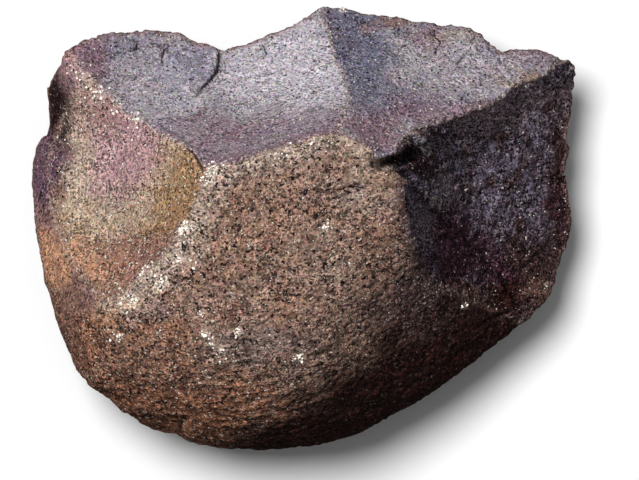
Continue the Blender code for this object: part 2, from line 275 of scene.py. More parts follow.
@dataclass(frozen=True)
class Crack:
    """A small step or crack in a broken face.

    The line is in pixels. The step lifts the side to the left of the line's run, or lowers it
    where it is negative, and it dies away over the fade. All depths are in millimetres. The last
    number darkens the line, partly as painted shade inside the crack.
    """

    name: str
    line: tuple[Pixel, ...]
    groove: float = 0.25
    groove_width: float = 0.22
    step: float = 0.0
    fade: float = 3.0
    stain: float = 1.0


CRACKS = (
    Crack("lobe step", ((194, 96), (199, 93), (203, 89), (209, 83), (214, 77), (218, 71), (219, 64),
                        (219.5, 57), (217.5, 50)), 0.5, 0.24, 0.85, 6.0),
    Crack("lobe step echo", ((203, 95), (212, 88), (220, 81), (225, 73), (228, 62)), 0.2, 0.3, 0.15, 2.0,
          0.4),
    Crack("crest step", ((394, 57), (400, 49), (406, 38), (409, 33), (415, 28)), 0.3, 0.25, -0.45, 3.0,
          0.6),
    Crack("crest hook", ((434, 26), (436, 35), (439, 43), (435, 50), (437, 55)), 0.35, 0.22, 0.3, 1.5),
    Crack("crest cross nick", ((470, 50), (464, 54), (459, 61), (455, 68), (452, 73)), 0.3, 0.2, 0.2, 1.5,
          0.7),
    Crack("bevel", ((466, 32), (471, 41), (478, 50), (487, 57), (498, 60), (503, 64)), 0.15, 0.3, -0.9,
          2.6, 0.25),
    Crack("pocket lip", ((371, 168), (380, 165), (390, 163), (401, 162), (412, 157), (424, 150),
                         (436, 144), (449, 139), (462, 131)), 1.7, 0.75, 0.0, 1.0, 0.8),
    Crack("hollow line", ((402, 170), (411, 179), (419, 190), (428, 204), (440, 216), (456, 229),
                          (468, 239), (478, 247), (492, 262), (503, 276), (513, 291), (519, 303),
                          (525, 316)), 0.9, 0.8, 0.0, 1.0, 0.55),
    Crack("pocket crack", ((333, 192), (343, 189), (352, 186), (359, 187), (366, 190)), 0.9, 0.34, 0.35,
          2.0),
    Crack("lobe nick", ((164, 66), (162, 58), (164, 50), (171, 43), (178, 41)), 0.6, 0.3, -0.5, 2.0),
    Crack("brow nick", ((261, 44), (264, 50), (268, 55)), 0.3, 0.25, 0.0, 1.0),
    Crack("arris chip", ((187, 148), (194, 154), (199, 162), (202, 171)), 0.6, 0.35, 0.0, 1.0),
    Crack("horn nick", ((132, 37), (138, 41), (137, 47), (133, 50)), 0.5, 0.28, -0.45, 1.5),
    Crack("hollow flute one", ((402, 192), (409, 200), (414, 210), (417, 222)), 0.25, 0.35, 0.0, 1.0, 0.3),
    Crack("right flute one", ((432, 167), (446, 160), (462, 157)), 0.4, 0.35, 0.25, 2.0, 0.5),
    Crack("right flute two", ((424, 181), (440, 172), (458, 169)), 0.35, 0.3, 0.2, 2.0, 0.5),
    Crack("right flute three", ((520, 268), (534, 262), (548, 248)), 0.4, 0.35, -0.25, 2.0, 0.5),
    Crack("heel ledge one", ((78, 372), (92, 384), (108, 392), (124, 398), (140, 401)), 0.4, 0.35, 0.5,
          3.0, 0.6),
    Crack("heel ledge two", ((92, 402), (112, 409), (135, 413), (160, 414), (190, 418)), 0.35, 0.3, 0.4,
          2.5, 0.6),
    Crack("heel ledge three", ((470, 330), (490, 318), (508, 312), (520, 312)), 0.4, 0.4, 0.4, 2.5, 0.6),
    Crack("heel ledge four", ((400, 392), (430, 372), (462, 350), (486, 336)), 0.3, 0.35, 0.3, 3.0, 0.5),
)


@dataclass(frozen=True)
class Cluster:
    """A knot of white crushed quartz, in pixels."""

    pixel: Pixel
    reach: float
    density: float = 1.0


CLUSTERS = (
    Cluster((187, 228), 5), Cluster((195, 260), 5), Cluster((180, 257), 4), Cluster((162, 282), 6),
    Cluster((132, 301), 6), Cluster((124, 308), 5), Cluster((118, 337), 5), Cluster((159, 332), 2.5),
    Cluster((202, 312), 2), Cluster((239, 331), 4), Cluster((207, 333), 4), Cluster((299, 357), 4),
    Cluster((339, 358), 3), Cluster((326, 228), 4), Cluster((278, 279), 2.5), Cluster((232, 297), 2.5),
    Cluster((223, 352), 5, 0.7), Cluster((212, 343), 4, 0.7), Cluster((86, 78), 7, 0.35),
    Cluster((100, 95), 8, 0.4), Cluster((136, 120), 6, 0.4), Cluster((208, 180), 7, 0.35),
    Cluster((286, 152), 6, 0.25), Cluster((318, 146), 7, 0.25), Cluster((465, 307), 3, 0.6),
    Cluster((75, 72), 5, 0.3), Cluster((115, 108), 5, 0.3), Cluster((342, 12), 3, 0.5),
    Cluster((547, 286), 3, 0.5),
)


class LineFit(NamedTuple):
    """How points lie beside a line in plan.

    Away is the distance, side is 1 to the left and -1 to the right of the line's run, along is the
    share of the line's length, and foot is the nearest place on the line.
    """

    away: np.ndarray
    side: np.ndarray
    along: np.ndarray
    foot: np.ndarray


def fit_line(points: np.ndarray, line: np.ndarray) -> LineFit:
    """Measure points against a line in plan.

    Args:
        points: Plan points, one row each.
        line: The line's corners, one row each.

    Returns:
        How the points lie beside the line.
    """
    away, side = np.full(len(points), np.inf), np.ones(len(points))
    along, foot = np.zeros(len(points)), np.zeros((len(points), 2))
    lengths = np.hypot(*np.diff(line, axis=0).T)
    starts = np.concatenate([[0], np.cumsum(lengths)[:-1]])
    for start, end, length, before in zip(line, line[1:], lengths, starts):
        way = (end - start) / length
        offset = points - start
        run = np.clip(offset @ way, 0, length)
        place = start + run[:, None] * way
        gap = np.hypot(*(points - place).T)
        closer = gap < away
        away[closer], foot[closer] = gap[closer], place[closer]
        side[closer] = np.sign(way[0] * offset[:, 1] - way[1] * offset[:, 0])[closer]
        along[closer] = ((before + run) / lengths.sum())[closer]
    return LineFit(away, side, along, foot)


class PatchMap:
    """Knows the patch of each face of the solid, and where the patches meet. Lengths are in metres."""

    RIDGE_ANGLE = math.radians(7)
    RIDGE_TOLL = 0.5
    SAMPLE_STEP = 0.0003
    RAY_START = 1.0

    def __init__(self, solid: bmesh.types.BMesh, plan: PhotoPlan) -> None:
        """Sort the solid's faces into patches.

        Args:
            solid: The solid, closed and with its doubles merged.
            plan: The plan of the photograph.
        """
        self.solid = solid
        self.tree = BVHTree.FromBMesh(solid)
        self.patches = self._flood(self._seed_faces(plan))

    def _seed_faces(self, plan: PhotoPlan) -> list[tuple[int, Patch]]:
        """Find the face at each seed, by a ray from above or from below."""
        rays = ((SEEDS_ABOVE, plan.high.z + self.RAY_START, -1),
                (SEEDS_BELOW, plan.low.z - self.RAY_START, 1))
        found = []
        for seeds, height, way in rays:
            for patch, pixels in seeds.items():
                hits = (self.tree.ray_cast((*plan.place(pixel), height), (0, 0, way))[2] for pixel in pixels)
                found.extend((face, patch) for face in hits if face is not None)
        return found

    def _flood(self, seeds: Sequence[tuple[int, Patch]]) -> list[Patch]:
        """Let each patch spread from its seeds, slowly where it would cross a ridge.

        Args:
            seeds: A face and its patch for each seed.

        Returns:
            The patch of each face.
        """
        faces = self.solid.faces
        patches: list[Patch] = [Patch.SKIN] * len(faces)
        reached = [False] * len(faces)
        queue = [(0.0, order, face, patch) for order, (face, patch) in enumerate(seeds)]
        heapq.heapify(queue)
        order = len(queue)
        while queue:
            cost, _, index, patch = heapq.heappop(queue)
            if reached[index]:
                continue
            reached[index] = True
            patches[index] = patch
            face = faces[index]
            centre = face.calc_center_median()
            for edge in face.edges:
                for other in edge.link_faces:
                    if reached[other.index]:
                        continue
                    step = (other.calc_center_median() - centre).length
                    ridge = max(0.0, edge.calc_face_angle(0.0) - self.RIDGE_ANGLE)
                    order += 1
                    heapq.heappush(queue, (cost + step + ridge * self.RIDGE_TOLL, order,
                                           other.index, patch))
        return patches

    def border(self, one: frozenset[Patch], other: frozenset[Patch]) -> np.ndarray:
        """Sample the line where two sets of patches meet.

        Args:
            one: Patches on one side.
            other: Patches on the other side.

        Returns:
            The samples, one row each.
        """
        samples: list[Vector] = []
        for edge in self.solid.edges:
            if len(edge.link_faces) != 2:
                continue
            a, b = (self.patches[face.index] for face in edge.link_faces)
            if a is not b and ((a in one and b in other) or (b in one and a in other)):
                start, end = (vert.co for vert in edge.verts)
                count = max(1, math.ceil((end - start).length / self.SAMPLE_STEP))
                samples.extend(start.lerp(end, k / count) for k in range(count + 1))
        return np.array(samples)


def point_tree(points: np.ndarray) -> kdtree.KDTree:
    """Put points in a tree, for finding the nearest."""
    tree = kdtree.KDTree(len(points))
    for k, point in enumerate(points):
        tree.insert(point, k)
    tree.balance()
    return tree


def nearest(tree: kdtree.KDTree, points: np.ndarray) -> tuple[np.ndarray, np.ndarray]:
    """Find the sample nearest to each point.

    Args:
        tree: The samples.
        points: Points, one row each.

    Returns:
        The samples' numbers and the distances.
    """
    found = [tree.find(point)[1:] for point in points]
    return np.array([number for number, _ in found]), np.array([away for _, away in found])


def add_object(name: str, data: Any) -> bpy.types.Object:
    """Make an object and put it in the scene."""
    thing = bpy.data.objects.new(name, data)
    bpy.context.collection.objects.link(thing)
    return thing


def make_plain(thing: bpy.types.Object) -> None:
    """Turn an object's modifiers into a plain mesh."""
    evaluated = thing.evaluated_get(bpy.context.evaluated_depsgraph_get())
    plain = bpy.data.meshes.new_from_object(evaluated)
    thing.modifiers.clear()
    rough, thing.data = thing.data, plain
    bpy.data.meshes.remove(rough)


def read_points(mesh: bpy.types.Mesh) -> np.ndarray:
    """Places of a mesh's vertices, one row each."""
    flat = np.empty(len(mesh.vertices) * 3, np.float32)
    mesh.vertices.foreach_get("co", flat)
    return flat.reshape(-1, 3).astype(float)


def write_points(mesh: bpy.types.Mesh, points: np.ndarray) -> None:
    """Move a mesh's vertices."""
    mesh.vertices.foreach_set("co", points.astype(np.float32).ravel())
    mesh.update()


def read_normals(mesh: bpy.types.Mesh) -> np.ndarray:
    """Normals of a mesh's vertices, one row each."""
    flat = np.empty(len(mesh.vertices) * 3, np.float32)
    mesh.vertex_normals.foreach_get("vector", flat)
    return flat.reshape(-1, 3).astype(float)


def read_edges(mesh: bpy.types.Mesh) -> np.ndarray:
    """The two vertices of each edge, one row each."""
    flat = np.empty(len(mesh.edges) * 2, np.int32)
    mesh.edges.foreach_get("vertices", flat)
    return flat.reshape(-1, 2)


def store(mesh: bpy.types.Mesh, name: str, values: np.ndarray) -> None:
    """Store one number for each vertex."""
    mesh.attributes.new(name, "FLOAT", "POINT").data.foreach_set("value", values.astype(np.float32))


def read(mesh: bpy.types.Mesh, name: str) -> np.ndarray:
    """Read the number that each vertex stores."""
    values = np.empty(len(mesh.vertices), np.float32)
    mesh.attributes[name].data.foreach_get("value", values)
    return values.astype(float)


def smooth_step(value: np.ndarray, low: float, high: float) -> np.ndarray:
    """Rise from 0 to 1 between two values."""
    share = np.clip((value - low) / (high - low), 0, 1)
    return share * share * (3 - 2 * share)


def neighbour_mean(values: np.ndarray, pairs: np.ndarray) -> np.ndarray:
    """Mean of the values at each vertex's neighbours.

    Args:
        values: One row for each vertex.
        pairs: The two vertices of each edge.

    Returns:
        One row for each vertex.
    """
    count = np.bincount(pairs.ravel(), minlength=len(values))[:, None]
    total = np.stack([np.bincount(pairs[:, 0], column[pairs[:, 1]], len(values))
                      + np.bincount(pairs[:, 1], column[pairs[:, 0]], len(values))
                      for column in values.T], 1)
    return total / np.maximum(count, 1)


def relax(points: np.ndarray, pairs: np.ndarray, free: np.ndarray, rounds: int) -> np.ndarray:
    """Smooth a mesh where it is free to move.

    Args:
        points: The vertices, one row each.
        pairs: The two vertices of each edge.
        free: How free each vertex is, from 0 to 1.
        rounds: How often to smooth.

    Returns:
        The moved vertices.
    """
    moving = free > 0
    near = moving[pairs[:, 0]] | moving[pairs[:, 1]]
    pairs, share = pairs[near], RELAX_SHARE * free[:, None]
    for _ in range(rounds):
        points = points + (neighbour_mean(points, pairs) - points) * share
    return points


class RimCrumbs(NamedTuple):
    """White crumbs along a rim, which thin out between two distances from it in millimetres."""

    line: Line
    density: float
    fade: tuple[float, float]
    patchiness: float
    only_skin: bool


RIM_CRUMBS = (RimCrumbs(Line.LEFT_RIM, 0.45, (0.2, 2.2), 1.6, False),
              RimCrumbs(Line.TOP_RIM, 0.4, (0.3, 2.6), 1.5, True))


class StoneMesh:
    """The fine mesh of the stone, with what each vertex needs to know about its place.

    Lengths are in metres, or in millimetres where the name ends in MM. A pair is a low and a high
    value: what it steers does nothing below the one and everything above the other. A scale is
    that of a noise, per metre.
    """

    VOXEL = 0.00091
    MERGE_WITHIN = 1e-7
    FINE_ABOVE = 0.010
    FINE_FACING = -0.15
    FACET_ROUNDS = 20
    RIDGE_HOLD = (0.0002, 0.0014)
    FLOOR_HOLD = (0.0, 0.0005)
    EDGE_HOLD = (0.0003, 0.0014)
    MASK_ROUNDS = {Patch.FLANK: 24, Patch.RIGHT: 14}
    FEWEST_MASK_ROUNDS = 3
    RAGGED_SCALE = 900
    RAGGED_REACH = 0.0005
    FULL_WEAR_SHARE = 0.35
    SWELL_FACING = (0.0, 0.3)
    CRACK_FACING = (-0.1, 0.1)
    CRACK_TAPER = 6
    WOBBLE_SCALE = 500
    WOBBLE_REACH = 0.0004
    NO_CRACK_MM = 9.0
    OUTLINE_CENTRE: Pixel = (304.5, 227.25)
    OUTLINE_BELT = (0.86, 0.99)
    LONGEST_OUTLINE_PULL = 0.0013
    CRUMB_SCALE = 600
    CRUMB_PATCH_SCALE = 170
    CRUMB_EVENNESS = 0.7
    CRUMB_FREE_MM = (0.6, 1.6)

    def __init__(self, plan: PhotoPlan) -> None:
        """Keep the plan of the photograph."""
        self.plan = plan
        self.points = np.empty((0, 3))
        self.pairs = np.empty((0, 2), int)

    def build(self) -> bpy.types.Object:
        """Make the stone's object, with its fine mesh and its attributes."""
        solid = self._merged_solid()
        patch_map = PatchMap(solid, self.plan)
        trees = {line: point_tree(patch_map.border(*sides)) for line, sides in LINE_SIDES.items()}
        stone = self._remeshed(solid)
        self._refine(stone)
        self.points, self.pairs = read_points(stone.data), read_edges(stone.data)
        self._settle(patch_map, trees)
        self._store_patches(stone, patch_map)
        away = {line: nearest(tree, self.points)[1] for line, tree in trees.items()}
        for line, distance in away.items():
            store(stone.data, line.value, distance / MM)
        self._draw_ridges(patch_map)
        self._wear_ridges(stone, away[Line.EDGE])
        self._raise_swells(stone)
        self._open_cracks(stone)
        self._follow_outline()
        write_points(stone.data, self.points)
        self._store_crumbs(stone)
        solid.free()
        return stone

    def _merged_solid(self) -> bmesh.types.BMesh:
        """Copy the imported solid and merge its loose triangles."""
        solid = bmesh.new()
        solid.from_mesh(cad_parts[NODE].data)
        bmesh.ops.remove_doubles(solid, verts=solid.verts, dist=self.MERGE_WITHIN)
        for items in (solid.verts, solid.edges, solid.faces):
            items.ensure_lookup_table()
            items.index_update()
        return solid

    def _remeshed(self, solid: bmesh.types.BMesh) -> bpy.types.Object:
        """Cover the solid with an even mesh."""
        rough = bpy.data.meshes.new("stone_rough")
        solid.to_mesh(rough)
        stone = add_object("stone", rough)
        remesh = stone.modifiers.new("Even cover", "REMESH")
        remesh.mode = "VOXEL"
        remesh.voxel_size = self.VOXEL
        make_plain(stone)
        return stone

    def _refine(self, stone: bpy.types.Object) -> None:
        """Halve the mesh on the worked side and along the cutting edge."""
        mesh = bmesh.new()
        mesh.from_mesh(stone.data)
        mesh.normal_update()
        fine = [vert.co.z > self.FINE_ABOVE and vert.normal.z > self.FINE_FACING for vert in mesh.verts]
        edges = [edge for edge in mesh.edges if fine[edge.verts[0].index] and fine[edge.verts[1].index]]
        bmesh.ops.subdivide_edges(mesh, edges=edges, cuts=1, use_grid_fill=True)
        bmesh.ops.triangulate(mesh, faces=[face for face in mesh.faces if len(face.verts) > 4])
        mesh.to_mesh(stone.data)
        mesh.free()

    def _settle(self, patch_map: PatchMap, trees: Mapping[Line, kdtree.KDTree]) -> None:
        """Lay the mesh on the solid, and relax the solid's facets away from its ridges."""
        points = np.array([patch_map.tree.find_nearest(point)[0] for point in self.points])
        ridge = np.min([nearest(trees[line], points)[1] for line in (Line.RIM, Line.ARRIS, Line.EDGE)], 0)
        free = smooth_step(ridge, *self.RIDGE_HOLD) * smooth_step(points[:, 2], *self.FLOOR_HOLD)
        self.points = relax(points, self.pairs, free, self.FACET_ROUNDS)

    def _store_patches(self, stone: bpy.types.Object, patch_map: PatchMap) -> None:
        """Store a soft mask for each patch, with ragged borders."""
        ragged = [Vector(point) + noise.noise_vector(Vector(point) * self.RAGGED_SCALE) * self.RAGGED_REACH
                  for point in self.points]
        found = [patch_map.patches[patch_map.tree.find_nearest(place)[2]] for place in ragged]
        for patch in Patch:
            mask = np.array([float(one is patch) for one in found])[:, None]
            for _ in range(self.MASK_ROUNDS.get(patch, self.FEWEST_MASK_ROUNDS)):
                mask = 0.5 * mask + 0.5 * neighbour_mean(mask, self.pairs)
            store(stone.data, patch.value, mask[:, 0])

    def _draw_ridges(self, patch_map: PatchMap) -> None:
        """Draw the ridges to their true runs, and the stone beside them."""
        shift, weight = np.zeros((len(self.points), 2)), np.zeros(len(self.points))
        for guide in GUIDES:
            samples = patch_map.border(guide.one, guide.other)
            fit = fit_line(samples[:, :2], self.plan.line(guide.line))
            pull = fit.foot - samples[:, :2]
            pull *= ((fit.along > 0) & (fit.along < 1))[:, None]
            length = np.hypot(*pull.T)[:, None]
            pull *= np.minimum(1, guide.longest_pull * MM / np.maximum(length, 1e-9))
            number, away = nearest(point_tree(samples), self.points)
            share = 1 - smooth_step(away, 0, guide.reach * MM)
            shift += pull[number] * share[:, None]
            weight += share
        self.points[:, :2] += shift / np.maximum(weight, 1)[:, None]

    def _wear_ridges(self, stone: bpy.types.Object, edge_distance: np.ndarray) -> None:
        """Wear the soft ridges round."""
        write_points(stone.data, self.points)
        upper = read_normals(stone.data)[:, 2] > 0
        loose = smooth_step(edge_distance, *self.EDGE_HOLD)
        for worn in WORN:
            away = fit_line(self.points[:, :2], self.plan.line(worn.line)).away
            near = 1 - smooth_step(away, self.FULL_WEAR_SHARE * worn.reach * MM, worn.reach * MM)
            free = near * upper * loose
            self.points = relax(self.points, self.pairs, free, worn.rounds)

    def _raise_swells(self, stone: bpy.types.Object) -> None:
        """Raise the humps and sink the hollows."""
        write_points(stone.data, self.points)
        upper = smooth_step(read_normals(stone.data)[:, 2], *self.SWELL_FACING)
        lift = np.zeros(len(self.points))
        for swell in SWELLS:
            offset = self.points[:, :2] - self.plan.place(swell.pixel)
            turn = math.radians(swell.turn)
            way = np.array([math.cos(turn), math.sin(turn)])
            along, across = offset @ way, offset @ np.array([-way[1], way[0]])
            long, wide = (reach * self.plan.metres_per_pixel for reach in swell.reach)
            lift += swell.height * np.exp(-((along / long) ** 2) - (across / wide) ** 2)
        self.points[:, 2] += lift * upper * MM

    def _open_cracks(self, stone: bpy.types.Object) -> None:
        """Cut the cracks into the mesh, and raise the steps beside them."""
        write_points(stone.data, self.points)
        normals = read_normals(stone.data)
        upper = smooth_step(normals[:, 2], *self.CRACK_FACING)
        lift, stain = np.zeros(len(self.points)), np.zeros(len(self.points))
        beside = np.full(len(self.points), self.NO_CRACK_MM)
        wobble = np.array([noise.noise_vector(Vector(point) * self.WOBBLE_SCALE)[:2]
                           for point in self.points]) * self.WOBBLE_REACH
        for crack in CRACKS:
            fit = fit_line(self.points[:, :2] + wobble, self.plan.line(crack.line))
            away = fit.away / MM
            from_end = np.minimum(fit.along, 1 - fit.along)
            taper = np.clip(from_end * self.CRACK_TAPER, 0, 1) ** 0.5 * upper
            groove = np.exp(-((away / crack.groove_width) ** 2))
            raised = (fit.side > 0) * np.exp(-((away / crack.fade) ** 2))
            lift += taper * (crack.step * raised - crack.groove * groove)
            closer = away < np.abs(beside)
            beside[closer] = (away * fit.side)[closer]
            stain[closer] = (taper * crack.stain)[closer]
        self.points += normals * (lift * MM)[:, None]
        store(stone.data, "crack_mm", beside)
        # How dark each crack is coloured, partly painted shade inside the crack.
        store(stone.data, "crack", stain)

    def _follow_outline(self) -> None:
        """Draw the stone's outline, seen from above, to its true run."""
        centre = np.array(self.plan.place(self.OUTLINE_CENTRE))
        offset = self.points[:, :2] - centre
        reach = np.maximum(np.hypot(*offset.T), 1e-9)
        degree = np.degrees(np.arctan2(offset[:, 1], offset[:, 0]))
        present = np.zeros(360)
        np.maximum.at(present, np.round(degree).astype(int) % 360, reach)
        true = self.plan.line(OUTLINE) - centre
        true_degree = np.degrees(np.arctan2(true[:, 1], true[:, 0]))
        wanted = np.interp(np.arange(360), true_degree, np.hypot(*true.T), period=360)
        pull = np.clip(wanted - present, -self.LONGEST_OUTLINE_PULL, self.LONGEST_OUTLINE_PULL)
        here = np.interp(degree, np.arange(360), present, period=360)
        share = smooth_step(reach / here, *self.OUTLINE_BELT)
        pulled = np.interp(degree, np.arange(360), pull, period=360) * share
        self.points[:, :2] += offset / reach[:, None] * pulled[:, None]

    def _store_crumbs(self, stone: bpy.types.Object) -> None:
        """Store how thickly white crumbs of quartz lie on each place."""
        skin = read(stone.data, Patch.SKIN.value)
        ragged, patchy = (np.array([noise.noise(Vector(point) * scale) for point in self.points])
                          for scale in (self.CRUMB_SCALE, self.CRUMB_PATCH_SCALE))
        crumbs = np.zeros(len(self.points))
        for rim in RIM_CRUMBS:
            near = 1 - smooth_step(read(stone.data, rim.line.value), *rim.fade)
            where = skin if rim.only_skin else 1.0
            crumbs += rim.density * where * near * np.clip(patchy * rim.patchiness, 0, 1)
        upper = read_normals(stone.data)[:, 2] > 0
        for cluster in CLUSTERS:
            away = np.hypot(*(self.points[:, :2] - self.plan.place(cluster.pixel)).T)
            reach = cluster.reach * self.plan.metres_per_pixel
            near = np.exp(-((away / reach) ** 2))
            crumbs += cluster.density * upper * near * (self.CRUMB_EVENNESS + ragged)
        crumbs *= smooth_step(np.abs(read(stone.data, "crack_mm")), *self.CRUMB_FREE_MM)
        store(stone.data, "crumbs", np.clip(crumbs, 0, 1))


class Sheet:
    """Draws the nodes of one tree. A value given to a socket is set, and a socket is linked."""

    def __init__(self, tree: bpy.types.NodeTree) -> None:
        """Start on an emptied tree."""
        tree.nodes.clear()
        self.tree = tree

    def node(self, kind: str, inputs: Mapping[Any, Any] | None = None, **settings: Any) -> bpy.types.Node:
        """Place a node.

        Args:
            kind: Its type.
            inputs: A value or a socket for each input, by name or by number.
            **settings: Its properties.

        Returns:
            The node.
        """
        made = self.tree.nodes.new(kind)
        for name, value in settings.items():
            setattr(made, name, value)
        for name, value in (inputs or {}).items():
            self.feed(made.inputs[name], value)
        return made

    def feed(self, socket: bpy.types.NodeSocket, value: Any) -> None:
        """Link a socket, or set its value."""
        if isinstance(value, bpy.types.NodeSocket):
            self.tree.links.new(value, socket)
        else:
            socket.default_value = value

    def math(self, operation: str, a: Any, b: Any = 0.0) -> bpy.types.NodeSocket:
        """One step of arithmetic on numbers."""
        return self.node("ShaderNodeMath", {0: a, 1: b}, operation=operation).outputs[0]

    def product(self, *factors: Any) -> bpy.types.NodeSocket:
        """Multiply several numbers."""
        result = factors[0]
        for factor in factors[1:]:
            result = self.math("MULTIPLY", result, factor)
        return result

    def vector(self, operation: str, a: Any, b: Any) -> bpy.types.NodeSocket:
        """One step of arithmetic on vectors."""
        return self.node("ShaderNodeVectorMath", {0: a, 1: b}, operation=operation).outputs[0]

    def scaled(self, vector: Any, scale: Any) -> bpy.types.NodeSocket:
        """A vector times a number."""
        return self.node("ShaderNodeVectorMath", {0: vector, "Scale": scale}, operation="SCALE").outputs[0]

    def length(self, vector: Any) -> bpy.types.NodeSocket:
        """The length of a vector."""
        return self.node("ShaderNodeVectorMath", {0: vector}, operation="LENGTH").outputs["Value"]

    def rise(self, value: Any, low: Any, high: Any, to_low: Any = 0.0,
             to_high: Any = 1.0) -> bpy.types.NodeSocket:
        """Ease from one value to another as the input passes from low to high."""
        inputs = {"Value": value, "From Min": low, "From Max": high, "To Min": to_low, "To Max": to_high}
        return self.node("ShaderNodeMapRange", inputs, interpolation_type="SMOOTHSTEP").outputs[0]

    def noise(self, vector: Any, scale: Any, detail: float = 2.0, roughness: float = 0.5) -> bpy.types.Node:
        """Cloudy noise: its first output is a number and its second a colour."""
        inputs = {"Vector": vector, "Scale": scale, "Detail": detail, "Roughness": roughness}
        return self.node("ShaderNodeTexNoise", inputs)

    def mix(self, factor: Any, a: Any, b: Any, blend: str = "MIX") -> bpy.types.NodeSocket:
        """Blend two colours."""
        values = [(*value, 1) if isinstance(value, tuple) else value for value in (a, b)]
        mixer = self.node("ShaderNodeMix", {0: factor, 6: values[0], 7: values[1]}, data_type="RGBA",
                          blend_type=blend)
        return mixer.outputs[2]

    def stored(self, name: str) -> bpy.types.NodeSocket:
        """Read a number that the mesh stores, in a geometry tree."""
        return self.node("GeometryNodeInputNamedAttribute", {"Name": name}, data_type="FLOAT").outputs[0]

    def dressed(self, geometry: Any, finish: Any) -> bpy.types.NodeSocket:
        """Make instances real and set the material, in a geometry tree."""
        whole = self.node("GeometryNodeRealizeInstances", {0: geometry}).outputs[0]
        return self.node("GeometryNodeSetMaterial", {"Geometry": whole, "Material": finish}).outputs[0]

    def ramp(self, factor: Any, stops: Sequence[tuple[float, Colour]]) -> bpy.types.NodeSocket:
        """Run through colours."""
        made = self.node("ShaderNodeValToRGB", {0: factor})
        ramp = made.color_ramp
        while len(ramp.elements) < len(stops):
            ramp.elements.new(1.0)
        for element, (position, colour) in zip(ramp.elements, stops):
            element.position = position
            element.color = (*colour, 1)
        return made.outputs[0]


FLOAT, VECTOR, GEOMETRY = "NodeSocketFloat", "NodeSocketVector", "NodeSocketGeometry"


class GroupStart(NamedTuple):
    """A new node group: its tree, its sheet, the sockets of its input node and its output node."""

    tree: bpy.types.NodeTree
    sheet: Sheet
    given: Any
    end: bpy.types.Node


def new_group(name: str, kind: str, inputs: Mapping[str, tuple[str, Any]],
              outputs: Mapping[str, str]) -> GroupStart:
    """Start a node group with named sockets.

    Args:
        name: Its name.
        kind: Its type of tree.
        inputs: Each input's type and default value.
        outputs: Each output's type.

    Returns:
        What is needed to draw the group.
    """
    tree = bpy.data.node_groups.new(name, kind)
    sheet = Sheet(tree)
    for label, (socket_type, default) in inputs.items():
        socket = tree.interface.new_socket(label, in_out="INPUT", socket_type=socket_type)
        if default is not None:
            socket.default_value = default
    for label, socket_type in outputs.items():
        tree.interface.new_socket(label, in_out="OUTPUT", socket_type=socket_type)
    start = sheet.node("NodeGroupInput")
    end = sheet.node("NodeGroupOutput")
    return GroupStart(tree, sheet, start.outputs, end)


def run_tree(thing: bpy.types.Object, tree: bpy.types.NodeTree, values: Mapping[str, Any]) -> None:
    """Run a geometry tree on an object, and leave a plain mesh.

    Args:
        thing: The object.
        tree: The tree.
        values: The value of each named input.
    """
    modifier = thing.modifiers.new(tree.name, "NODES")
    modifier.node_group = tree
    sockets = {item.name: item.identifier for item in tree.interface.items_tree if item.in_out == "INPUT"}
    for label, value in values.items():
        modifier[sockets[label]] = value
    make_plain(thing)


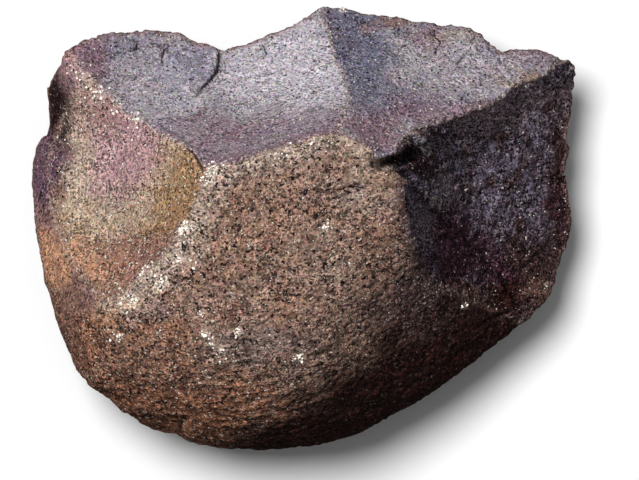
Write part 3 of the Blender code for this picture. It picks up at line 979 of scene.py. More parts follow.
@dataclass(frozen=True)
class StoneRelief:
    """The relief of the stone's surfaces, raised by a geometry tree. Sizes are in millimetres.

    A curve holds a low and a high value of the noise, and the share of the depth that each gives.
    The bedding grows towards the heel, between two places along the part's y, in metres. The relief
    fades out towards the flat spot that the stone rests on, between two heights, in metres.
    """

    SEED_STRIDE = 31.7
    PIT_STRETCH = (0.8, 1.1, 1.0)
    PIT_CURVE = (-0.17, 0.10, -1.0, 0.1)
    BEDDING_TURN = math.radians(-18)
    BEDDING_STRETCH = (0.2, 0.9, 1.1)
    BEDDING_CURVE = (-0.2, 0.2, -1.0, 0.0)
    BEDDED_HEEL = (-0.014, -0.036)
    ROUGH_CURVE = (-0.18, 0.18, -1.0, 0.3)
    BITE_CURVE = (-0.02, 0.16, 0.0, -1.0)
    EDGE_BITE_MM = 1.2
    ARRIS_BITE_MM = 1.0
    FLAT_REST = (0.0002, 0.002)

    pit_size: float = 1.05
    pit_depth: float = 0.28
    bump_size: float = 4.5
    bump_height: float = 0.6
    bedding_size: float = 1.15
    bedding_depth: float = 0.3
    grain_size: float = 0.8
    grain_depth: float = 0.06
    wave_size: float = 6.0
    wave_height: float = 0.5
    rough_size: float = 1.4
    rough_depth: float = 0.52
    nibble_size: float = 1.5
    nibble_depth: float = 0.4
    seed: float = 3.0

    def apply(self, stone: bpy.types.Object, finish: bpy.types.Material) -> None:
        """Raise the relief on the stone.

        Args:
            stone: The stone's object, with its attributes.
            finish: The material that the tree sets.
        """
        run_tree(stone, self._tree(), {**self._sizes(), "Finish": finish})

    def _sizes(self) -> dict[str, float]:
        """The tree's inputs, named after the fields, and their values."""
        return {size.name.replace("_", " ").capitalize(): getattr(self, size.name) for size in fields(self)}

    def _tree(self) -> bpy.types.NodeTree:
        """Draw the tree."""
        inputs: dict[str, tuple[str, Any]] = {"Stone": (GEOMETRY, None)}
        inputs.update({label: (FLOAT, value) for label, value in self._sizes().items()})
        inputs["Finish"] = ("NodeSocketMaterial", None)
        tree, sheet, given, end = new_group("Stone relief", "GeometryNodeTree", inputs,
                                            {"Stone": GEOMETRY})

        def cloud(place: Any, size: Any, detail: float, roughness: float) -> bpy.types.NodeSocket:
            """Noise of a size in millimetres, round 0."""
            noisy = sheet.noise(place, sheet.math("DIVIDE", 1.0, size), detail, roughness).outputs[0]
            return sheet.math("SUBTRACT", noisy, 0.5)

        position = sheet.node("GeometryNodeInputPosition").outputs[0]
        across = sheet.node("ShaderNodeSeparateXYZ", {0: position}).outputs
        shift = sheet.node("ShaderNodeCombineXYZ", {"X": given["Seed"], "Y": given["Seed"]}).outputs[0]
        place = sheet.vector("ADD", sheet.scaled(position, 1 / MM), sheet.scaled(shift, self.SEED_STRIDE))
        skin, right = sheet.stored(Patch.SKIN.value), sheet.stored(Patch.RIGHT.value)
        fresh = sheet.math("SUBTRACT", 1.0, skin)

        squashed = sheet.vector("MULTIPLY", place, self.PIT_STRETCH)
        pits = sheet.rise(cloud(squashed, given["Pit size"], 3.0, 0.65), *self.PIT_CURVE)
        bumps = cloud(place, given["Bump size"], 2.0, 0.5)
        turned = sheet.node("ShaderNodeVectorRotate", {"Vector": place, "Angle": self.BEDDING_TURN},
                            rotation_type="Z_AXIS").outputs[0]
        bedded = sheet.vector("MULTIPLY", turned, self.BEDDING_STRETCH)
        bedding = sheet.rise(cloud(bedded, given["Bedding size"], 2.0, 0.6), *self.BEDDING_CURVE)
        at_heel = sheet.rise(across["Y"], *self.BEDDED_HEEL)
        skin_relief = sheet.math("ADD", sheet.product(pits, given["Pit depth"]),
                                 sheet.product(bumps, given["Bump height"]))
        skin_relief = sheet.math("ADD", skin_relief, sheet.product(bedding, at_heel, given["Bedding depth"]))

        grain = sheet.product(cloud(place, given["Grain size"], 2.0, 0.6), given["Grain depth"])
        wave = sheet.product(cloud(place, given["Wave size"], 1.5, 0.45), given["Wave height"])
        rough = sheet.rise(cloud(squashed, given["Rough size"], 3.0, 0.65), *self.ROUGH_CURVE)
        rough = sheet.product(rough, given["Rough depth"], right)
        fresh_relief = sheet.math("ADD", sheet.math("ADD", grain, wave), rough)

        relief = sheet.math("ADD", sheet.product(skin_relief, skin), sheet.product(fresh_relief, fresh))
        bite = sheet.rise(cloud(place, given["Nibble size"], 1.5, 0.6), *self.BITE_CURVE)
        near_edge = sheet.rise(sheet.stored(Line.EDGE.value), self.EDGE_BITE_MM, 0.0)
        near_arris = sheet.rise(sheet.stored(Line.ARRIS.value), self.ARRIS_BITE_MM, 0.0)
        bitten = sheet.product(bite, given["Nibble depth"], sheet.math("MAXIMUM", near_edge, near_arris))
        relief = sheet.math("ADD", relief, bitten)
        relief = sheet.product(relief, sheet.rise(across["Z"], *self.FLAT_REST))

        normal = sheet.node("GeometryNodeInputNormal").outputs[0]
        offset = sheet.scaled(normal, sheet.product(relief, MM))
        stored = sheet.node("GeometryNodeStoreNamedAttribute",
                            {"Geometry": given["Stone"], "Name": "relief_mm", "Value": relief},
                            data_type="FLOAT", domain="POINT").outputs[0]
        moved = sheet.node("GeometryNodeSetPosition", {"Geometry": stored, "Offset": offset}).outputs[0]
        sheet.feed(end.inputs[0], sheet.dressed(moved, given["Finish"]))
        return tree


@dataclass(frozen=True)
class QuartzCrumbs:
    """Crushed white quartz, scattered along the rims by a geometry tree.

    At most so many crumbs lie on a square millimetre, and their radii are in millimetres.
    """

    FULL_TURN = 6.3
    SHAPE = (1.3, 1.0, 0.7)

    most: float = 5.0
    smallest: float = 0.12
    largest: float = 0.36
    seed: int = 11

    def scatter(self, stone: bpy.types.Object, finish: bpy.types.Material) -> bpy.types.Object:
        """Scatter the crumbs over the stone.

        Args:
            stone: The dressed stone.
            finish: The crumbs' material.

        Returns:
            One object that holds every crumb.
        """
        crumbs = add_object("quartz_crumbs", stone.data.copy())
        run_tree(crumbs, self._tree(), {
            "Most per square mm": self.most, "Smallest radius": self.smallest,
            "Largest radius": self.largest, "Seed": self.seed, "Finish": finish})
        return crumbs

    def _tree(self) -> bpy.types.NodeTree:
        """Draw the tree."""
        inputs = {"Stone": (GEOMETRY, None), "Most per square mm": (FLOAT, self.most),
                  "Smallest radius": (FLOAT, self.smallest), "Largest radius": (FLOAT, self.largest),
                  "Seed": ("NodeSocketInt", self.seed), "Finish": ("NodeSocketMaterial", None)}
        tree, sheet, given, end = new_group("Quartz crumbs", "GeometryNodeTree", inputs,
                                            {"Crumbs": GEOMETRY})
        density = sheet.product(sheet.stored("crumbs"), given["Most per square mm"], 1 / MM**2)
        spread = sheet.node("GeometryNodeDistributePointsOnFaces",
                            {"Mesh": given["Stone"], "Density": density, "Seed": given["Seed"]})
        crystal = sheet.node("GeometryNodeMeshIcoSphere", {"Radius": MM, "Subdivisions": 1}).outputs[0]
        size = sheet.node("FunctionNodeRandomValue", {2: given["Smallest radius"],
                          3: given["Largest radius"], "Seed": given["Seed"]}, data_type="FLOAT").outputs[1]
        turn = sheet.node("FunctionNodeRandomValue", {1: (self.FULL_TURN,) * 3, "Seed": given["Seed"]},
                          data_type="FLOAT_VECTOR").outputs[0]
        even = sheet.node("ShaderNodeCombineXYZ", {0: size, 1: size, 2: size}).outputs[0]
        placed = sheet.node("GeometryNodeInstanceOnPoints",
                            {"Points": spread.outputs["Points"], "Instance": crystal, "Rotation": turn,
                             "Scale": sheet.vector("MULTIPLY", even, self.SHAPE)}).outputs[0]
        sheet.feed(end.inputs[0], sheet.dressed(placed, given["Finish"]))
        return tree


class ShaderGroups:
    """The effects that the stone's materials share, each built once."""

    def __init__(self) -> None:
        """Build every group."""
        self.stain = self._stain()
        self.grain = self._grain()
        self.specks = self._specks()
        self.wear = self._wear()

    def _stain(self) -> bpy.types.NodeTree:
        """A soft, ragged spot round a centre."""
        tree, sheet, given, end = new_group("Stain spot", "ShaderNodeTree", {
            "Place": (VECTOR, (0, 0, 0)), "Centre": (VECTOR, (0, 0, 0)), "Reach": (VECTOR, (1, 1, 1)),
            "Ragged": (FLOAT, 0.4), "Softness": (FLOAT, 0.5)}, {"Mask": FLOAT, "Distance": FLOAT})
        away = sheet.length(sheet.vector("DIVIDE", sheet.vector("SUBTRACT", given["Place"], given["Centre"]),
                                         given["Reach"]))
        ragged = sheet.math("SUBTRACT", sheet.noise(given["Place"], 0.35, 4.0, 0.6).outputs[0], 0.5)
        away = sheet.math("ADD", away, sheet.product(ragged, given["Ragged"]))
        outer, inner = (sheet.math(how, 1.0, given["Softness"]) for how in ("ADD", "SUBTRACT"))
        sheet.feed(end.inputs["Mask"], sheet.rise(away, outer, inner))
        sheet.feed(end.inputs["Distance"], away)
        return tree

    def _grain(self) -> bpy.types.NodeTree:
        """Fine uneven grain: a tone round 1 that darkens and lightens, and a height for bump."""
        tree, sheet, given, end = new_group("Grain", "ShaderNodeTree", {
            "Place": (VECTOR, (0, 0, 0)), "Size": (FLOAT, 0.4), "Contrast": (FLOAT, 0.5)},
            {"Tone": FLOAT, "Height": FLOAT})
        scale = sheet.math("DIVIDE", 1.0, given["Size"])
        cloud = sheet.noise(given["Place"], scale, 2.0, 0.6).outputs[0]
        swing = sheet.rise(cloud, 0.35, 0.65, -1.0, 1.0)
        tone = sheet.math("ADD", 1.0, sheet.product(swing, given["Contrast"]))
        sheet.feed(end.inputs["Tone"], sheet.math("MAXIMUM", tone, 0.05))
        sheet.feed(end.inputs["Height"], cloud)
        return tree

    def _specks(self) -> bpy.types.NodeTree:
        """Irregular specks, such as grains that catch the light or tiny pits."""
        tree, sheet, given, end = new_group("Specks", "ShaderNodeTree", {
            "Place": (VECTOR, (0, 0, 0)), "Shift": (FLOAT, 0.0), "Size": (FLOAT, 0.5),
            "Level": (FLOAT, 0.6)}, {"Mask": FLOAT})
        scale = sheet.math("DIVIDE", 1.0, given["Size"])
        shift = sheet.node("ShaderNodeCombineXYZ", {0: given["Shift"], 1: given["Shift"], 2: given["Shift"]})
        place = sheet.vector("ADD", given["Place"], shift.outputs[0])
        cloud = sheet.noise(place, scale, 2.0, 0.6).outputs[0]
        mask = sheet.rise(cloud, given["Level"], sheet.math("ADD", given["Level"], 0.05))
        sheet.feed(end.inputs["Mask"], mask)
        return tree

    def _wear(self) -> bpy.types.NodeTree:
        """A ragged band along a line, strongest on the line itself."""
        tree, sheet, given, end = new_group("Edge wear", "ShaderNodeTree", {
            "Place": (VECTOR, (0, 0, 0)), "Away": (FLOAT, 1.0), "Reach": (FLOAT, 1.0),
            "Ragged": (FLOAT, 0.6)}, {"Mask": FLOAT})
        share = sheet.math("DIVIDE", given["Away"], given["Reach"])
        ragged = sheet.math("SUBTRACT", sheet.noise(given["Place"], 0.7, 4.0, 0.65).outputs[0], 0.5)
        share = sheet.math("ADD", share, sheet.product(ragged, given["Ragged"]))
        sheet.feed(end.inputs["Mask"], sheet.rise(share, 1.0, 0.1))
        return tree


@dataclass(frozen=True)
class StainAndShading:
    """A stain seen from above, in pixels; some of these spots are painted shade and some painted light."""

    pixel: Pixel
    reach: Pixel
    colour: Colour
    strength: float = 1.0
    ragged: float = 0.9
    softness: float = 0.5


class Grit(NamedTuple):
    """How grainy a patch looks: its swing of tone, its dark specks and its bright specks."""

    tone: float
    dark: float
    bright: float


@dataclass(frozen=True)
class QuartziteFinish:
    """Colours and grain of the stone, by patch; most are the stone's own, and some are painted shade and
    painted light.
    """

    skin_brown: Colour = (0.200, 0.126, 0.098)
    skin_orange: Colour = (0.205, 0.118, 0.082)
    skin_umber: Colour = (0.150, 0.080, 0.060)
    skin_mauve: Colour = (0.175, 0.126, 0.118)
    skin_rust: Colour = (0.228, 0.094, 0.050)
    # Dim skin, also used as painted shade where the skin turns away from the light.
    skin_dim_and_painted_shade: Colour = (0.080, 0.047, 0.046)
    # Painted shade: the near-black red-brown of the heel's shaded lower right.
    skin_heel_painted_shade: Colour = (0.018, 0.0035, 0.0025)
    rim_pale: Colour = (0.335, 0.255, 0.208)
    pink: Colour = (0.298, 0.180, 0.188)
    cream: Colour = (0.345, 0.262, 0.196)
    ochre: Colour = (0.225, 0.130, 0.066)
    mauve: Colour = (0.162, 0.084, 0.072)
    foot: Colour = (0.350, 0.182, 0.102)
    grey: Colour = (0.212, 0.188, 0.205)
    pale: Colour = (0.352, 0.322, 0.356)
    plum: Colour = (0.150, 0.090, 0.114)
    blue: Colour = (0.155, 0.143, 0.186)
    dusk: Colour = (0.102, 0.099, 0.148)
    slate: Colour = (0.080, 0.063, 0.084)
    slate_brown: Colour = (0.033, 0.016, 0.016)
    slate_blue: Colour = (0.096, 0.082, 0.116)
    # Painted light: a lighter tint that lifts the shadowed band under the arris and the shadowed spots below
    # it.
    shade: Colour = (0.145, 0.106, 0.122)
    # Maroon, darkened as painted shade in the right face's hollow and along its groove.
    maroon: Colour = (0.033, 0.011, 0.019)
    flank: Colour = (0.150, 0.086, 0.082)
    # The flank's dark notch, and painted shade in the pocket under the arris lip.
    flank_dark_and_pocket_shade: Colour = (0.012, 0.004, 0.005)
    flank_violet: Colour = (0.082, 0.044, 0.064)
    # Near black, used as painted shade in hollows, pits and cracks, and for the thin line at the cutting
    # edge.
    pit: Colour = (0.008, 0.004, 0.004)
    crushed: Colour = (0.76, 0.69, 0.60)

    def stains(self) -> dict[Patch, tuple[StainAndShading, ...]]:
        """The stains of each patch, with spots of painted shade and painted light among them, in the order
        in which they lie.
        """
        return {
            Patch.SKIN: (
                StainAndShading((250, 215), (75, 30), self.skin_orange, 0.35),
                StainAndShading((352, 197), (14, 7), self.skin_mauve, 0.8),
                StainAndShading((95, 300), (48, 22), self.foot, 0.7),
                StainAndShading((330, 262), (36, 28), self.rim_pale, 0.15),
                StainAndShading((388, 238), (26, 34), self.skin_umber, 0.5, 0.9, 0.8),
                StainAndShading((368, 198), (26, 22), self.rim_pale, 0.3, 0.9, 0.8),
                StainAndShading((135, 352), (70, 45), self.skin_rust, 0.4),
                StainAndShading((170, 415), (130, 36), self.skin_rust, 0.8),
                StainAndShading((250, 345), (45, 25), self.skin_mauve, 0.5),
                StainAndShading((66, 340), (24, 66), self.skin_rust, 0.8),
                StainAndShading((60, 350), (20, 50), self.skin_dim_and_painted_shade, 0.5),
                StainAndShading((150, 312), (26, 14), self.skin_mauve, 0.6),
                # Painted shade where the skin turns away from the light, towards the heel and the hollow.
                StainAndShading((392, 318), (30, 28), self.skin_dim_and_painted_shade, 0.75, 0.9, 0.7),
                StainAndShading((436, 286), (36, 44), self.skin_dim_and_painted_shade, 1.0, 0.8, 0.6),
                StainAndShading((462, 290), (26, 8), self.skin_brown, 0.5, 0.8, 0.6),
            ),
            Patch.LEFT: (
                StainAndShading((78, 150), (15, 62), self.cream, 0.7, 0.9, 0.8),
                StainAndShading((74, 60), (20, 20), self.pink, 0.7, 0.9, 0.7),
                StainAndShading((93, 106), (27, 24), self.mauve, 0.5, 0.9, 0.8),
                StainAndShading((122, 203), (34, 16), self.mauve, 0.35, 0.9, 0.8),
                StainAndShading((90, 230), (30, 20), self.cream, 0.5, 0.9, 0.8),
                StainAndShading((184, 178), (32, 38), self.ochre, 0.8, 0.9, 0.85),
                StainAndShading((135, 262), (44, 28), self.mauve, 0.8, 0.9, 0.7),
                StainAndShading((80, 272), (44, 26), self.foot, 0.75),
                StainAndShading((108, 290), (34, 14), self.skin_orange, 0.8),
                StainAndShading((43, 168), (17, 46), self.flank_violet, 1.0, 0.5, 0.8),
                StainAndShading((54, 112), (22, 34), self.flank_dark_and_pocket_shade, 1.0, 0.3, 0.45),
            ),
            Patch.MIDDLE: (
                StainAndShading((290, 62), (80, 50), self.pale, 1.0, 0.7, 0.6),
                StainAndShading((165, 88), (56, 26), self.pale, 0.4),
                StainAndShading((200, 62), (30, 20), self.blue, 0.8),
                StainAndShading((120, 48), (30, 16), self.blue, 0.7),
                StainAndShading((235, 68), (22, 22), self.pale, 0.6),
                StainAndShading((96, 58), (24, 30), self.plum, 0.95),
                StainAndShading((200, 142), (60, 24), self.plum, 0.55, 0.9, 0.8),
                StainAndShading((290, 126), (60, 18), self.plum, 0.45, 0.9, 0.8),
            ),
            Patch.TOP: (
                StainAndShading((352, 46), (34, 56), self.dusk, 0.85, 0.5, 0.5),
                StainAndShading((338, 30), (13, 20), self.slate, 0.55, 0.7, 0.7),
                StainAndShading((385, 95), (30, 22), self.dusk, 0.6),
                StainAndShading((390, 24), (16, 8), self.mauve, 0.7),
                StainAndShading((462, 60), (56, 30), self.pale, 0.5),
                StainAndShading((455, 34), (28, 9), self.cream, 0.35),
                StainAndShading((492, 44), (12, 12), self.dusk, 0.7),
                StainAndShading((440, 112), (75, 12), self.plum, 0.6),
                StainAndShading((365, 138), (28, 16), self.plum, 0.8),
                StainAndShading((535, 82), (36, 7), self.ochre, 0.6),
                StainAndShading((562, 62), (14, 10), self.slate_brown, 0.7),
            ),
            Patch.RIGHT: (
                # Painted light on the right face's shadowed band under the arris and below it.
                StainAndShading((470, 130), (20, 10), self.shade, 0.7, 0.9, 0.8),
                StainAndShading((505, 112), (32, 14), self.shade, 0.9, 0.9, 0.7),
                StainAndShading((541, 92), (28, 13), self.shade, 1.0, 0.9, 0.7),
                StainAndShading((448, 184), (26, 16), self.shade, 0.5, 0.9, 0.7),
                StainAndShading((428, 224), (14, 20), self.shade, 0.4, 0.7, 0.7),
                StainAndShading((436, 198), (16, 12), self.blue, 0.3, 0.7, 0.7),
                # Painted highlight on the lit ledge under the arris.
                StainAndShading((425, 141), (17, 5), self.grey, 0.6, 0.6, 0.6),
                # Painted shade in the pocket under the arris lip.
                StainAndShading((402, 163), (24, 10), self.flank_dark_and_pocket_shade, 0.95, 0.5, 0.5),
                StainAndShading((416, 175), (18, 9), self.flank_dark_and_pocket_shade, 0.75, 0.8, 0.6),
                StainAndShading((535, 278), (50, 48), self.slate_brown, 1.0, 0.7, 0.6),
                # Maroon in the hollow, partly painted shade.
                StainAndShading((456, 250), (26, 46), self.maroon, 0.95, 0.7, 0.6),
                StainAndShading((564, 195), (17, 80), self.slate_brown, 1.0),
                StainAndShading((562, 212), (12, 40), self.maroon, 0.7),
                StainAndShading((560, 98), (12, 16), self.slate_brown, 0.4),
                StainAndShading((465, 293), (40, 11), self.skin_umber, 0.45),
                # Painted shade along the hollow line's groove.
                StainAndShading((479, 254), (13, 13), self.maroon, 0.8, 0.5, 0.6),
                StainAndShading((496, 273), (13, 14), self.maroon, 0.9, 0.5, 0.6),
                StainAndShading((510, 293), (13, 16), self.maroon, 1.0, 0.5, 0.6),
                # Painted shade at the foot of the right face, by the heel.
                StainAndShading((502, 306), (24, 20), self.skin_heel_painted_shade, 1.0),
                StainAndShading((540, 290), (14, 12), self.skin_umber, 0.5),
                # Painted highlight on the lit ridge streak.
                StainAndShading((431, 201), (9, 4), self.rim_pale, 0.35, 0.3, 0.4),
            ),
            Patch.FLANK: (
                StainAndShading((68, 62), (20, 24), self.pink, 0.85, 0.9, 0.6),
                StainAndShading((44, 165), (20, 42), self.flank_violet, 1.0, 0.5),
                StainAndShading((53, 106), (22, 32), self.flank_dark_and_pocket_shade, 1.0, 0.3, 0.3),
                StainAndShading((58, 262), (22, 30), self.foot, 0.8),
                StainAndShading((64, 300), (26, 20), self.skin_umber, 0.9),
            ),
        }

    def grits(self) -> dict[Patch, Grit]:
        """How grainy each patch looks."""
        return {
            Patch.SKIN: Grit(0.68, 1.0, 0.7), Patch.FLANK: Grit(0.6, 0.9, 0.25),
            Patch.LEFT: Grit(0.60, 0.95, 0.9), Patch.MIDDLE: Grit(0.46, 0.9, 0.7),
            Patch.TOP: Grit(0.52, 0.95, 0.7), Patch.RIGHT: Grit(1.0, 0.95, 0.8),
            Patch.BACK: Grit(0.3, 0.6, 0.4),
        }


class StoneMaterial:
    """Builds the stone's material: patch colours, stains, painted shade and painted light, grain, wear and
    bump.

    A curve holds a low and a high value of what steers it, and what each gives. The sizes and the
    levels of the pits are a pair, for the broken faces and for the skin. The level of the glints is
    one too, away from the ridges and on them, and fewer grains glint at a higher level.
    """

    DRIFT_SCALE = 0.11
    DRIFT_REACH_MM = 11.0
    STAIN_DEPTH_MM = 1e6
    LARGE_CLOUDS = (0.42, 0.66)
    SMALL_CLOUDS = (0.5, 0.72)
    SMALL_CLOUD_SHARE = 0.55
    HEEL_SHADE_FROM: Pixel = (330, 355)
    HEEL_SHADE_TURN = -57.0
    HEEL_SHADE_FADE_MM = 7.5
    HEEL_SHADE_STRENGTH = 0.97
    HEART_PIXEL: Pixel = (118, 132)
    HEART_REACH: Pixel = (64, 92)
    PLUM_STRENGTH = 0.85
    BAND_RAGGED = 1.3
    CRUMB_TINT = 0.4
    CRACK_RAGGED_MM = 0.7
    CRACK_HEART_MM = 0.05
    CRACK_WIDTH_CURVE = (0.35, 0.65, 0.2, 0.46)
    CRACK_PAINTED_SHADE = 0.95
    UNEVEN_CURVE = (0.35, 0.65, 0.6, 1.25)
    FINE_GRAIN_MM = 0.46
    COARSE_GRAIN_MM = 1.3
    COARSE_SHARE = 0.5
    HUE_SHIFT = (9.0, 4.0, 6.0)
    HUE_SWING = 0.7
    HUE_FLOOR = (0.65,) * 3
    HOLLOW_MM = (-0.08, -0.28)
    HOLLOW_PAINTED_SHADE = 0.6
    PIT_MM = (0.58, 0.85)
    PIT_LEVEL = (0.61, 0.60)
    GLINT_MM = 0.55
    GLINT_LEVEL = (0.615, 0.58)
    GLINTS_BY_ARRIS_MM = (1.6, 0.2)
    GLINTS_BY_RIM_MM = (4.0, 0.5)
    SPARSE_ON_RIGHT = 0.035
    SHADED_GLINTS = (0.2, 0.9, 1.0, 0.12)
    PIT_BUMP = 0.4
    GLINT_BUMP = 0.35
    BUMP_METRES = 0.0011
    ROUGHNESS_CURVE = (0.6, 1.4, 0.92, 0.62)
    SPECULAR = 0.08

    def __init__(self, plan: PhotoPlan, groups: ShaderGroups, finish: QuartziteFinish) -> None:
        """Keep what the material is made of.

        Args:
            plan: The plan of the photograph.
            groups: The shared shader groups.
            finish: The stone's colours.
        """
        self.plan = plan
        self.groups = groups
        self.finish = finish
        self.material = bpy.data.materials.new("quartzite_stone")
        self.material.use_nodes = True
        self.sheet = Sheet(self.material.node_tree)
        objects = self.sheet.node("ShaderNodeTexCoord").outputs["Object"]
        self.place = self.sheet.scaled(objects, 1 / MM)
        drift = self.sheet.noise(self.place, self.DRIFT_SCALE, 2.0).outputs[1]
        drift = self.sheet.vector("SUBTRACT", drift, (0.5,) * 3)
        self.drifting = self.sheet.vector("ADD", self.place, self.sheet.scaled(drift, self.DRIFT_REACH_MM))

    def attribute(self, name: str) -> bpy.types.NodeSocket:
        """Read a number that the mesh stores."""
        return self.sheet.node("ShaderNodeAttribute", attribute_name=name).outputs["Fac"]

    def group(self, tree: bpy.types.NodeTree, **values: Any) -> bpy.types.Node:
        """Place a shared group with its own values."""
        inputs = {name.capitalize(): value for name, value in values.items()}
        return self.sheet.node("ShaderNodeGroup", {"Place": self.place, **inputs}, node_tree=tree)

    def cloud(self, size: float, low: float, high: float) -> bpy.types.NodeSocket:
        """Soft patches of a size in millimetres, from 0 to 1."""
        return self.sheet.rise(self.sheet.noise(self.drifting, 1 / size, 3.0, 0.55).outputs[0], low, high)

    def spot(self, pixel: Pixel, reach: Pixel, **values: Any) -> bpy.types.Node:
        """Place a stain spot that is given in pixels."""
        x, y = self.plan.place(pixel)
        pixel_mm = self.plan.metres_per_pixel / MM
        return self.group(self.groups.stain, place=self.drifting, centre=(x / MM, y / MM, 0),
                          reach=(reach[0] * pixel_mm, reach[1] * pixel_mm, self.STAIN_DEPTH_MM), **values)

    def stained(self, base: bpy.types.NodeSocket, patch: Patch) -> bpy.types.NodeSocket:
        """Lay a patch's stains, and its spots of painted shade and painted light, over its colour.

        Args:
            base: The colour below.
            patch: The patch.

        Returns:
            The colour with its stains and painted shading.
        """
        for stain in self.finish.stains().get(patch, ()):
            spot = self.spot(stain.pixel, stain.reach, ragged=stain.ragged, softness=stain.softness)
            factor = self.sheet.product(spot.outputs["Mask"], stain.strength)
            base = self.sheet.mix(factor, base, stain.colour)
        return base

    def clouded(self, patch: Patch, size: float, one: Colour, other: Colour,
                third: Colour) -> bpy.types.NodeSocket:
        """Colour of a patch, in three colours that drift into each other.

        Args:
            patch: The patch, for its stains and painted shading.
            size: Size of the clouds, in millimetres.
            one: Its main colour.
            other: The colour of its larger clouds.
            third: The colour of its smaller clouds.

        Returns:
            The colour with its stains.
        """
        colour = self.sheet.mix(self.cloud(size, *self.LARGE_CLOUDS), one, other)
        small = self.cloud(size * self.SMALL_CLOUD_SHARE, *self.SMALL_CLOUDS)
        return self.stained(self.sheet.mix(small, colour, third), patch)

    def heel_shade(self) -> bpy.types.NodeSocket:
        """How strongly painted shade darkens the heel's lower right, from 0 to 1."""
        x, y = self.plan.place(self.HEEL_SHADE_FROM)
        offset = self.sheet.vector("SUBTRACT", self.drifting, (x / MM, y / MM, 0))
        turn = math.radians(self.HEEL_SHADE_TURN)
        way = (math.cos(turn), math.sin(turn), 0)
        below = self.sheet.node("ShaderNodeVectorMath", {0: offset, 1: way}, operation="DOT_PRODUCT")
        shade = self.sheet.rise(below.outputs["Value"], 0.0, self.HEEL_SHADE_FADE_MM)
        return self.sheet.product(shade, self.attribute(Patch.SKIN.value), self.HEEL_SHADE_STRENGTH)

    def skin(self) -> bpy.types.NodeSocket:
        """Colour of the skin, with painted shade on the heel's lower right."""
        finish = self.finish
        colour = self.clouded(Patch.SKIN, 8.0, finish.skin_brown, finish.skin_orange, finish.skin_umber)
        return self.sheet.mix(self.heel_shade(), colour, finish.skin_heel_painted_shade)

    def left(self) -> bpy.types.NodeSocket:
        """Colour of the left scar: a pink heart inside ochre and mauve rings."""
        heart = self.spot(self.HEART_PIXEL, self.HEART_REACH, ragged=0.9)
        finish = self.finish
        share = self.sheet.product(heart.outputs["Distance"], 0.5)
        rings = self.sheet.ramp(share, ((0.0, finish.pink), (0.26, finish.pink), (0.46, finish.cream),
                                        (0.60, finish.ochre), (0.76, finish.mauve), (1.0, finish.mauve)))
        return self.stained(rings, Patch.LEFT)

    def middle(self) -> bpy.types.NodeSocket:
        """Colour of the middle scar, which turns plum towards the skin."""
        finish = self.finish
        colour = self.clouded(Patch.MIDDLE, 8.0, finish.grey, finish.blue, finish.plum)
        band = self.group(self.groups.wear, away=self.attribute(Line.TOP_RIM.value), reach=7.0, ragged=0.9)
        return self.sheet.mix(self.sheet.product(band.outputs[0], self.PLUM_STRENGTH), colour, finish.plum)

    def by_patch(self, values: Mapping[Patch, Any]) -> bpy.types.NodeSocket:
        """Put a colour, or three numbers, together from each patch's own.

        Args:
            values: A socket or a colour for each patch.

        Returns:
            What holds at each place.
        """
        result = values[Patch.SKIN]
        for patch in (Patch.RIGHT, Patch.LEFT, Patch.MIDDLE, Patch.TOP, Patch.BACK, Patch.FLANK):
            result = self.sheet.mix(self.attribute(patch.value), result, values[patch])
        return result

    def pigments(self) -> bpy.types.NodeSocket:
        """Colour of every patch, with its stains."""
        finish = self.finish
        return self.by_patch({
            Patch.SKIN: self.skin(),
            Patch.FLANK: self.clouded(Patch.FLANK, 5.0, finish.flank, finish.mauve, finish.flank_violet),
            Patch.LEFT: self.left(),
            Patch.MIDDLE: self.middle(),
            Patch.TOP: self.clouded(Patch.TOP, 7.0, finish.grey, finish.plum, finish.blue),
            Patch.RIGHT: self.clouded(Patch.RIGHT, 5.0, finish.slate, finish.slate_brown, finish.slate_blue),
            Patch.BACK: self.clouded(Patch.BACK, 8.0, finish.plum, finish.mauve, finish.grey),
        })

    def worn(self, colour: bpy.types.NodeSocket) -> bpy.types.NodeSocket:
        """Lay the pale rims, the crushed crumbs and the tinted cutting edge over the colour."""
        sheet, groups, finish = self.sheet, self.groups, self.finish
        skin, right = self.attribute(Patch.SKIN.value), self.attribute(Patch.RIGHT.value)
        bands = ((Line.RIM, 5.0, 0.4, finish.slate_brown, right),
                 (Line.LEFT_RIM, 5.5, 0.75, finish.rim_pale, skin),
                 (Line.TOP_RIM, 5.0, 0.65, finish.rim_pale, skin),
                 (Line.ARRIS, 0.7, 0.2, finish.rim_pale, 1.0),
                 (Line.EDGE, 1.7, 0.5, finish.mauve, sheet.math("SUBTRACT", 1.0, right)),
                 (Line.EDGE, 0.5, 0.6, finish.pit, 1.0))
        for line, reach, strength, tint, where in bands:
            away = self.attribute(line.value)
            band = self.group(groups.wear, away=away, reach=reach, ragged=self.BAND_RAGGED)
            colour = sheet.mix(sheet.product(band.outputs[0], strength, where), colour, tint)
        return sheet.mix(sheet.product(self.attribute("crumbs"), self.CRUMB_TINT), colour, finish.crushed)

    def cracks(self) -> bpy.types.NodeSocket:
        """A thin, ragged mask along the cracks."""
        sheet = self.sheet
        ragged = sheet.math("SUBTRACT", sheet.noise(self.place, 1.3, 3.0, 0.7).outputs[0], 0.5)
        away = sheet.math("ADD", self.attribute("crack_mm"), sheet.product(ragged, self.CRACK_RAGGED_MM))
        wide = sheet.rise(sheet.noise(self.place, 0.5, 1.0).outputs[0], *self.CRACK_WIDTH_CURVE)
        thin = sheet.rise(sheet.math("ABSOLUTE", away), wide, self.CRACK_HEART_MM)
        return sheet.product(thin, self.attribute("crack"))

